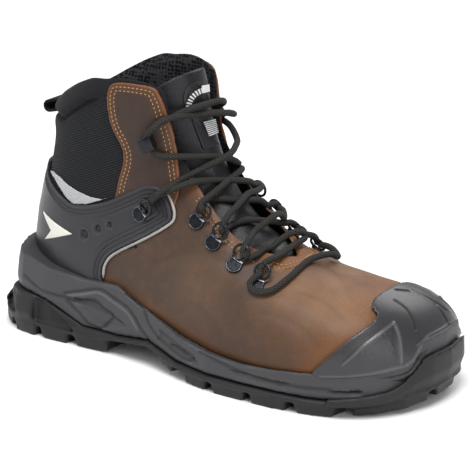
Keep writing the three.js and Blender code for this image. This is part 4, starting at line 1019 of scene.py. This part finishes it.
def dress_upper():
    mesh = upper.data
    top_line = np.array([seen_at_y(x, y, COLLAR_SIDE)[:] for x, y in COLLAR_LINE])
    roll_from = np.interp(face_centre[:, 0], top_line[:, 0], top_line[:, 2])
    x, z = face_centre[:, 0], face_centre[:, 2]
    rise = (x - along(0.38)) / SOLE_LENGTH * 0.4 * SHAFT_HEIGHT
    black_from = np.where(x < along(0.38), 0.4 * SHAFT_HEIGHT, THROAT_TOP + rise)
    index = np.zeros(len(x), np.int32)
    index[z > black_from] = 1
    index[(z > black_from) & ((z > roll_from) | (x > along(0.41)))] = 2
    index[~outwards] = 3
    clothe(upper, BROWN, RIBBED, COLLAR_CLOTH, LINING)
    mesh.polygons.foreach_set("material_index", index)

    places = places_of(mesh)
    outward = np.zeros(len(places))
    for polygon, outside in zip(mesh.polygons, outwards):
        if outside:
            outward[list(polygon.vertices)] = 1
    view = side_view(places)
    groove = np.interp(places[:, 0], top_line[:, 0], top_line[:, 2]) - places[:, 2]
    behind = outward * (1 - ease(*ROLL_ENDS, places[:, 0]))
    push(upper, (2.2 * MM * ease(0.5 * MM, 5 * MM, -groove) - 2.0 * MM * bump(groove, 2.0 * MM)) * behind)
    marked = crease(upper, CREASES)
    leaf = depth_in_leaf(places_of(mesh), outward)
    push(upper, 0.9 * MM * ease(-0.4 * MM, 0.8 * MM, leaf))
    at_sole = places[:, 2] - MM * np.interp(places[:, 0] / MM, SOLE_EDGE_X, SOLE_EDGE_Z)
    # Darker where the leather nears the sole, towards the front.
    marked += 0.6 * bump(at_sole, 13 * MM) * ease(0.1, 0.16, places[:, 0])
    # Painted shade along the groove under the collar roll and in the creases.
    keep_number(upper, "line", np.clip(marked + 0.9 * bump(groove, 1.1 * MM) * behind, 0, 1))
    places = places_of(mesh)
    # Throat edges, where the outside meets the rim.
    edge_owner = {}
    for polygon, outside in zip(mesh.polygons, outwards):
        for key in polygon.edge_keys:
            edge_owner.setdefault(key, []).append(bool(outside))
    rim = {vertex for key, owners in edge_owner.items() if len(set(owners)) == 2 for vertex in key}
    rim_places = np.array([places[n] for n in rim])
    level = (rim_places[:, 2] > 45 * MM) & (rim_places[:, 2] < THROAT_TOP + 20 * MM)
    throat = rim_places[level & (rim_places[:, 0] > 80 * MM)]
    near = np.full(len(places), 1.0)
    for place in throat[:: max(1, len(throat) // 400)]:
        near = np.minimum(near, np.linalg.norm(places - place, axis=1))
    cap_line = rounded(side_places(CAP_EDGE[1:9]), each=4)
    at_cap = line_distance(view, cap_line)
    warm = 0.7 * bump(near, 7 * MM) + 0.6 * bump(at_cap, 10 * MM) + 0.35 * bump(at_sole, 5 * MM)
    warm += 0.2 * ease(0.13, 0.22, places[:, 0])
    warm = np.maximum(warm, 0.9 * ease(-0.5 * MM, 1.0 * MM, leaf))
    keep_number(upper, "warm", np.clip(warm, 0, 1))
    tree = tree_of(upper)
    # Painted sheen: paler leather round these places.
    pale = np.zeros(len(places))
    for x, y, size, share in PAINTED_SHEEN_PLACES:
        for found in on_both_sides(tree, [(x, y)]):
            for place, _ in found:
                pale = np.maximum(pale, share * bump(np.linalg.norm(places - place, axis=1), size * MM))
    keep_number(upper, "pale", pale)
    cut = np.maximum(1 - ease(0.6 * MM, 1.4 * MM, near), 0.8 * bump(leaf - 0.3 * MM, 0.8 * MM))
    keep_number(upper, "cut", cut)


dress_upper()
THROAT_ROWS = [
    [(199.4, 198.5), (206, 208.5), (213.2, 218.4), (223.7, 233.7), (237.7, 247.5), (251.7, 256), (261, 259)],
    [(196.6, 201.1), (203, 211), (210.4, 221), (220.9, 236.3), (234.9, 250.1), (249, 260), (259, 263.5)],
]
for row, pixels in enumerate([*THROAT_ROWS, *LEAF_ROWS]):
    found = on_both_sides(tree_of(upper), rounded(pixels, each=5))
    stitches(f"throat_stitches_{row + 1}", [line for line in found if len(line) > 1])


# Sole. Each panel: its corners' pixels, its height in millimetres and its share of painted shade.
SUNK_PANELS = {
    "midsole": [
        ([(66.7, 300), (95, 300), (113.3, 317.5), (95, 330)], -1.0, 0.25),
        ([(158.3, 338.3), (183.3, 358.3), (194.2, 357.5), (160, 331)], -0.9, 0.25),
    ],
    "outsole": [
        ([(50, 300), (68, 303), (91, 331.5), (52, 321.7)], -0.4, 0.5),
        ([(14, 284), (21, 279), (24, 296), (14, 300)], -0.4, 0.5),
    ],
}


def sink(body, panels):
    """Sinks panels of the sides, given by their corners in the photograph, and paints shade into them and
    onto what looks down.
    """
    tree = tree_of(body)
    places, normals = places_of(body.data), normals_of(body.data)
    # Painted shade on the undersides.
    marked = (normals[:, 2] < -0.35) * (places[:, 2] > 2 * MM).astype(float)
    out = np.zeros(len(places))
    for corners, height, dark in panels:
        seen = [place for place, _ in (seen_on(tree, x, y) for x, y in corners) if place is not None]
        if len(seen) > 2:
            inside = depth_in(side_view(places), [(p.x, p.z) for p in seen])
            share = ease(0, 1.4 * MM, inside) * (abs(normals[:, 1]) > 0.4)
            out += height * MM * share
            marked = marked + dark * share
    push(body, out)
    keep_number(body, "line", np.clip(marked, 0, 1))


MIDSOLE_LINES = [
    ([(25, 275), (38.3, 288.3), (55, 295), (70, 297.5)], -0.8, 1.0),
    (
        [(64.2, 292.8), (82, 291), (100, 289.7), (115, 299), (130, 310.8), (141.7, 330.8), (148.3, 339.2)],
        -0.9, 0.9,
    ),
    ([(68, 295.5), (84, 294), (99, 292.7), (113, 302), (127.5, 313), (137, 329)], 0.6, 0.8),
    ([(126, 293), (143.3, 308.3), (148.3, 323.3), (158.3, 338.3)], -0.8, 0.9),
    ([(158.3, 338.3), (183.3, 358.3), (194.2, 357.5), (178, 345), (160, 331)], -0.7, 0.9),
    (
        [(66.7, 300), (82, 300), (95, 300), (104, 308.5), (113.3, 317.5), (95, 330), (80, 314), (66.7, 300)],
        -0.8, 0.9,
    ),
    ([(200, 352), (230, 367), (262, 379), (300, 387), (330, 390)], -0.6, 0.9),
]


def make_midsole():
    body = piece("midsole_moulding", merged("midsole"), ["midsole"])
    modify(body, "even", "REMESH", mode="VOXEL", voxel_size=1.0 * MM)
    modify(body, "soften", "SMOOTH", factor=0.5, iterations=4)
    settle(body)
    sink(body, SUNK_PANELS["midsole"])
    score(body, MIDSOLE_LINES)
    clothe(body, MIDSOLE_GREY)


def make_outsole():
    body = piece("outsole_moulding", merged("outsole"), ["outsole"])
    modify(body, "even", "REMESH", mode="VOXEL", voxel_size=1.2 * MM)
    modify(body, "soften", "SMOOTH", factor=0.5, iterations=2)
    settle(body)
    sink(body, SUNK_PANELS["outsole"])
    clothe(body, OUTSOLE_DARK)


make_midsole()
make_outsole()
clothe(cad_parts["insole"], BED_CLOTH)


# Tongue and its label.
def make_tongue():
    made = merged("tongue")
    bmesh.ops.join_triangles(made, faces=made.faces, angle_face_threshold=1.3, angle_shape_threshold=1.6)
    body = piece("padded_tongue", made, ["tongue"])
    modify(body, "rounding", "SUBSURF", levels=3, render_levels=3)
    settle(body)
    clothe(body, TONGUE_SKIN)
    return body


tongue = make_tongue()


# The label lies this many pixels nearer the tongue's middle, and more so further down.
LABEL_SHIFT, LABEL_LEAN, LABEL_FROM = 4, 0.09, 85
LABEL_TOP_EDGE = [(210, 80), (203.3, 80.8), (194, 84), (189.2, 90), (188, 98.3), (190, 106.7)]
LABEL_TOP_END = [(216, 104), (214, 90)]
LABEL_LOW_PLATE = [(198, 119), (205, 134), (212.1, 149.2), (228.5, 144.3), (221.5, 117.5)]
LABEL_BAR = [(204, 86), (211, 84.6), (212.4, 91.7), (206.5, 93.4)]
ARC_CENTRE, ARC_RADII, ARC_TURNS, ARC_PIECE = (209, 106), (12.5, 17.5), np.linspace(-0.05, 1.45, 9), 0.1
LINES_LEFT, LINES_RIGHT = ((208.3, 122.5), (215, 135.8)), ((219.5, 119.6), (223.5, 132.1))
LINE_STEP = (0.35, 0.95)
LABEL_LINES = 8


def on_tongue(tree, pixels):
    """Places and normals on the tongue of pixels of the label."""
    found = [seen_on(tree, x - LABEL_SHIFT - (y - LABEL_FROM) * LABEL_LEAN, y) for x, y in pixels]
    return [one for one in found if one[0] is not None]


def plate(name, tree, pixels, low, high, cloth, nodes=(), edge=0.0):
    """A plate on the tongue between two heights, with its edges broken, all in millimetres."""
    found = on_tongue(tree, pixels)
    if len(found) < 4:
        return None
    made = bmesh.new()
    level = sum((normal for _, normal in found), Vector()).normalized()
    face = made.faces.new([made.verts.new(place + level * low * MM) for place, _ in found])
    drawn_out(made, [face], level * (high - low) * MM)
    body = piece(name, made, nodes)
    if edge:
        modify(body, "edges", "BEVEL", width=edge * MM, segments=2, affect="EDGES", limit_method="ANGLE")
        settle(body)
    body.data.shade_flat()
    clothe(body, cloth)
    return body


def arc_row(far, turn):
    """The pixels at both ends of a piece of the arc, at a radius."""
    x, y = ARC_CENTRE
    return [(x - far * math.cos(a), y - far * 1.05 * math.sin(a)) for a in (turn, turn + ARC_PIECE)]


def make_label():
    """A rounded plate with a pale segmented arc, and a square plate with pale lines."""
    tree = tree_of(tongue)
    top = [*rounded(LABEL_TOP_EDGE, each=4), *LABEL_TOP_END]
    upper_plate = plate("label_plate_top", tree, top, -0.6, 1.3, LABEL_BLACK, ["tongue_badge"], 0.5)
    plate("label_plate_low", tree, LABEL_LOW_PLATE, -0.6, 2.3, LABEL_BLACK, ["tongue_badge"], 0.5)
    plate("label_bar", tree, LABEL_BAR, 1.0, 1.55, LABEL_PALE)
    for n, turn in enumerate(ARC_TURNS):
        inner, outer = (arc_row(far, turn) for far in ARC_RADII)
        plate(f"label_arc_{n + 1}", tree, [*inner, *outer[::-1]], 1.0, 1.55, LABEL_PALE)
    for n, share in enumerate(np.linspace(0, 1, LABEL_LINES)):
        left, right = (np.array(a) + share * (np.array(b) - a) for a, b in (LINES_LEFT, LINES_RIGHT))
        corners = [left, right, right + LINE_STEP, left + LINE_STEP]
        plate(f"label_line_{n + 1}", tree, corners, 1.9, 2.55, LABEL_PALE)
    return upper_plate


label = make_label()


# Eyelets: x, z of the plate's middle and of the throat's middle beside it, as shares of length and height.
EYELETS = {
    "ring_1": (0.6653, 0.373, 0.676, 0.438),
    "ring_2": (0.609, 0.418, 0.628, 0.485),
    "ring_3": (0.5548, 0.475, 0.585, 0.55),
    "ring_4": (0.5097, 0.531, 0.553, 0.612),
    "ankle_ring": (0.3869, 0.527, 0.5155, 0.715),
    "top_hook": (0.3971, 0.775, 0.483, 0.877),
}
PLATE_WIDTH, PLATE_THICKNESS, RIM_RADIUS, BAR_RADIUS = 10 * MM, 1.5 * MM, 0.32 * MM, 0.95 * MM
RING_RADIUS, WIRE_RADIUS, RING_LEAN = 4.6 * MM, 0.85 * MM, 0.35
HOOK_WIDTH, HOOK_HEIGHT, HOOK_WALL = 8 * MM, 7.5 * MM, 1.4 * MM
carrier_tree = tree_of(upper, shell, *tabs.values())


def outside_tree():
    """The boot's outward surfaces alone, so that what lies inside is found to be inside."""
    made = bmesh.new()
    for body in (upper, shell, cap, tongue, label, *tabs.values()):
        count = len(made.faces)
        made.from_mesh(body.data)
        if body in (upper, tongue):
            made.faces.ensure_lookup_table()
            away = faces_outwards(body.data)[0]
            inside = [made.faces[count + n] for n in np.nonzero(~away)[0]]
            bmesh.ops.delete(made, geom=inside, context="FACES")
    tree = BVHTree.FromBMesh(made)
    made.free()
    return tree


body_tree = outside_tree()


def eyelet_frame(name, sign):
    x, z, top_x, top_z = EYELETS[name]
    place, normal = on_side(carrier_tree, *side_place(x, z), sign)
    mid_x, mid_z = side_place(top_x, top_z)
    towards = Vector((mid_x, 0, mid_z)) - place
    towards = (towards - normal * towards.dot(normal)).normalized()
    turn = Matrix((towards, normal.cross(towards), normal)).transposed().to_4x4()
    return Matrix.Translation(place) @ turn


def make_ring(name, sign, side):
    place = eyelet_frame(name, sign)
    half = PLATE_WIDTH / 2
    disc = bmesh.new()
    bmesh.ops.create_circle(disc, cap_ends=True, radius=half, segments=28)
    for vertex in disc.verts:
        if vertex.co.x > 0:
            vertex.co.x = min(vertex.co.x * 1.1, half * 0.9)
            vertex.co.y *= 1 - 0.18 * vertex.co.x / half
    rim_line = [place @ (v.co * 0.93 + Vector((0, 0, PLATE_THICKNESS))) for v in disc.verts]
    drawn_out(disc, disc.faces[:], (0, 0, PLATE_THICKNESS))
    rims = [e for e in disc.edges if e.calc_length() > 0 and all(v.co.z > MM for v in e.verts)]
    bmesh.ops.bevel(disc, geom=rims, offset=0.5 * MM, segments=3, affect="EDGES", profile=0.5, material=-1)
    body = piece(f"{name}_plate_{side}", disc, [f"{name}_{side}"])
    body.data.transform(place)
    clothe(body, BLACK_METAL)
    modify(body, "sharp", "WEIGHTED_NORMAL")
    settle(body)
    rim_line += rim_line[:2]
    rim = tube(f"{name}_rim_{side}", rim_line, RIM_RADIUS, sides=6, closed_ends=False)
    clothe(rim, RIM_METAL)
    # Bright bar across the plate, and the ring that leans up from it.
    bar = bmesh.new()
    size = {"radius1": BAR_RADIUS, "radius2": BAR_RADIUS, "depth": PLATE_WIDTH * 0.86}
    bmesh.ops.create_cone(bar, cap_ends=True, segments=12, **size)
    bmesh.ops.rotate(bar, verts=bar.verts, matrix=Matrix.Rotation(math.pi / 2, 3, "X"))
    bmesh.ops.translate(bar, verts=bar.verts, vec=(half * 0.62, 0, 1.9 * MM))
    bar_body = piece(f"{name}_bar_{side}", bar)
    bar_body.data.transform(place)
    clothe(bar_body, SILVER)
    centre = Vector((half + RING_RADIUS * 0.55, 0, PLATE_THICKNESS + RING_RADIUS * 0.5))
    lean = Matrix.Rotation(-RING_LEAN, 3, "Y")
    circle = [
        Vector((math.cos(a) * RING_RADIUS, math.sin(a) * RING_RADIUS * 1.05, 0))
        for a in np.linspace(0, 2 * math.pi, 41)
    ]
    loop = [place @ (centre + lean @ point) for point in circle]
    wire = tube(f"{name}_wire_{side}", loop, WIRE_RADIUS, sides=10, closed_ends=False)
    clothe(wire, BLACK_METAL)
    return place @ centre


def make_hook(sign, side):
    place = eyelet_frame("top_hook", sign)
    half = HOOK_WIDTH / 2
    made = bmesh.new()
    profile = [
        (-half, 0), (half, 0), (half, HOOK_HEIGHT), (-half, HOOK_HEIGHT), (-half, HOOK_HEIGHT - HOOK_WALL),
        (half - HOOK_WALL, HOOK_HEIGHT - HOOK_WALL), (half - HOOK_WALL, HOOK_WALL), (-half, HOOK_WALL),
    ]
    face = made.faces.new([made.verts.new((x, -half, z)) for x, z in profile])
    drawn_out(made, [face], (0, HOOK_WIDTH, 0))
    bmesh.ops.bevel(
        made, geom=made.edges[:], offset=0.35 * MM, segments=2, affect="EDGES", profile=0.5, material=-1
    )
    body = piece(f"top_hook_box_{side}", made, [f"top_hook_{side}"])
    body.data.transform(place)
    clothe(body, BLACK_METAL)
    return place @ Vector((0, 0, HOOK_HEIGHT / 2))


holes = {}
for side_name, side_sign in SIDES.items():
    for eyelet_name in list(EYELETS)[:-1]:
        holes[eyelet_name, side_name] = make_ring(eyelet_name, side_sign, side_name)
    holes["top_hook", side_name] = make_hook(side_sign, side_name)


# Laces. A strand leaves an outer eyelet, follows the photograph's pixels and goes down to an inner eyelet.
# Each run: its outer eyelet, its pixels, its inner eyelet, and 1 where it lies over the other strand.
LACE_RADIUS = 1.95 * MM
INNER_EYELETS_Y = 16 * MM
LAST_BEND = Vector((2 * MM, 0, 2 * MM))
STRANDS = {
    "lace_crossing_1": [
        ("ring_1", [(260, 270), (266, 262), (279, 255.5), (296, 243.5), (305, 237.5)], "ring_2", 1),
        (
            "ring_2", [(246, 257), (254, 256), (270, 248.5), (285, 236.5), (297, 231.5), (305, 234)],
            "ring_1", 0,
        ),
    ],
    "lace_crossing_2": [
        ("ring_2", [(249, 240), (255, 231), (270, 219), (279, 213.5), (284, 218)], "ring_3", 1),
        ("ring_3", [(224, 230), (230, 225.5), (247.5, 220), (272, 221.5), (283, 223)], "ring_2", 0),
    ],
    "lace_crossing_3": [
        ("ring_3", [(227, 217), (238, 205), (247.5, 194), (258, 190)], "ring_4", 1),
        ("ring_4", [(203, 203), (212.5, 199), (235, 200), (259, 200), (267, 205)], "ring_3", 0),
    ],
    "lace_crossing_4": [
        ("ring_4", [(202, 203), (216, 191), (229, 180), (242, 169)], "ankle_ring", 1),
        (
            "ankle_ring", [(158, 196), (176, 188), (195, 181.5), (222, 180), (248, 181), (254, 185)],
            "ring_4", 0,
        ),
    ],
    "lace_crossing_5": [
        (
            "ankle_ring", [(155, 198), (164, 190), (195, 172.5), (227, 156), (236, 145), (236.5, 137.5)],
            "top_hook", 1,
        ),
        ("top_hook", [(157, 155), (178, 156.5), (212, 156.5), (228, 158), (238, 163)], "ankle_ring", 0),
    ],
    "lace_bar": [
        (
            "ring_1", [(250, 283), (256, 291), (272, 290), (291, 276), (310, 260), (329, 254), (338, 256.5)],
            "ring_1", 0,
        ),
    ],
    "lace_tie": [
        ("top_hook", [(146, 137), (157, 125), (172, 116), (200, 106), (222, 100.5)], "top_hook", 1),
        ("top_hook", [(150, 131), (166, 119.5), (200, 114), (222, 112.5), (234, 114)], "top_hook", 0),
    ],
}


def held_off(place, gap):
    """The place, moved out to stay a gap clear of the boot."""
    near, normal, _, far = body_tree.find_nearest(place)
    rise = (place - near).dot(normal)
    return place if rise > gap else near + normal * gap


def strand_line(low, pixels, high, over):
    start, end = holes[low, "outer"], holes[high, "inner"]
    points = [start]
    for n, (x, y) in enumerate(pixels):
        share = (n + 0.6) / len(pixels)
        place = seen_at_y(x, y, start.y + (INNER_EYELETS_Y - start.y) * share)
        seen, _ = seen_on(body_tree, x, y)
        if seen is not None:
            close = min((seen - EYE).length, (place - EYE).length + 4 * MM)
            off = LACE_RADIUS * (1.6 + 1.9 * over * math.sin(math.pi * share))
            place = EYE + sight(x, y) * (close - off)
        points.append(place)
    points.append(points[-1].lerp(end, 0.5) + LAST_BEND)
    points.append(end)
    line = [Vector(p) for p in rounded(points, each=8)]
    line = [line[0], *(held_off(p, LACE_RADIUS * 0.9) for p in line[1:-4]), *line[-4:]]
    return spaced(rounded(line[::3] + [line[-1]], each=4), 1.6 * MM)


def make_laces():
    for node_name, runs in STRANDS.items():
        for n, (low, pixels, high, over) in enumerate(runs):
            line = strand_line(low, pixels, high, over)
            body = tube(f"{node_name}_strand_{n + 1}", line, LACE_RADIUS, [node_name], sides=14)
            clothe(body, CORD)


make_laces()


# Pull loop of webbing.
def make_pull_loop():
    made = merged("pull_loop")
    body = piece("webbing_pull_loop", made, ["pull_loop"])
    modify(body, "even", "REMESH", mode="VOXEL", voxel_size=0.5 * MM)
    modify(body, "soften", "SMOOTH", factor=0.5, iterations=3)
    settle(body)
    clothe(body, WEBBING)


make_pull_loop()


# Floor and light. Each lamp: its place, its size in metres and its power in watts.
LAMPS = {
    "key": ((0.45, -0.8, 2.0), 1.0, 42),
    "fill": ((-1.4, -1.2, 0.9), 1.4, 10),
    "front": ((1.6, -0.9, 0.6), 1.2, 9),
    "rim": ((0.2, 1.5, 1.5), 1.2, 16),
}


def make_stage():
    made = bmesh.new()
    bmesh.ops.create_grid(made, x_segments=1, y_segments=1, size=6)
    mesh = bpy.data.meshes.new("floor")
    made.to_mesh(mesh)
    made.free()
    floor = bpy.data.objects.new("floor", mesh)
    bpy.context.scene.collection.objects.link(floor)
    paint, _, shader = material("floor_paint", 0.9)
    shader.inputs["Base Color"].default_value = colour(248, 248, 248)
    floor.data.materials.append(paint)
    world = bpy.data.worlds.new("studio")
    bpy.context.scene.world = world
    world.use_nodes = True
    background = world.node_tree.nodes["Background"]
    background.inputs["Color"].default_value = colour(250, 250, 252)
    background.inputs["Strength"].default_value = 0.42
    for name, (place, size, power) in LAMPS.items():
        data = bpy.data.lights.new(name, "AREA")
        data.energy, data.size = power, size
        lamp = bpy.data.objects.new(name, data)
        turn = (Vector(place) - TARGET).to_track_quat("Z", "Y").to_matrix().to_4x4()
        lamp.matrix_world = Matrix.Translation(place) @ turn
        bpy.context.scene.collection.objects.link(lamp)
    bpy.context.scene.view_settings.view_transform = "Standard"


make_stage()
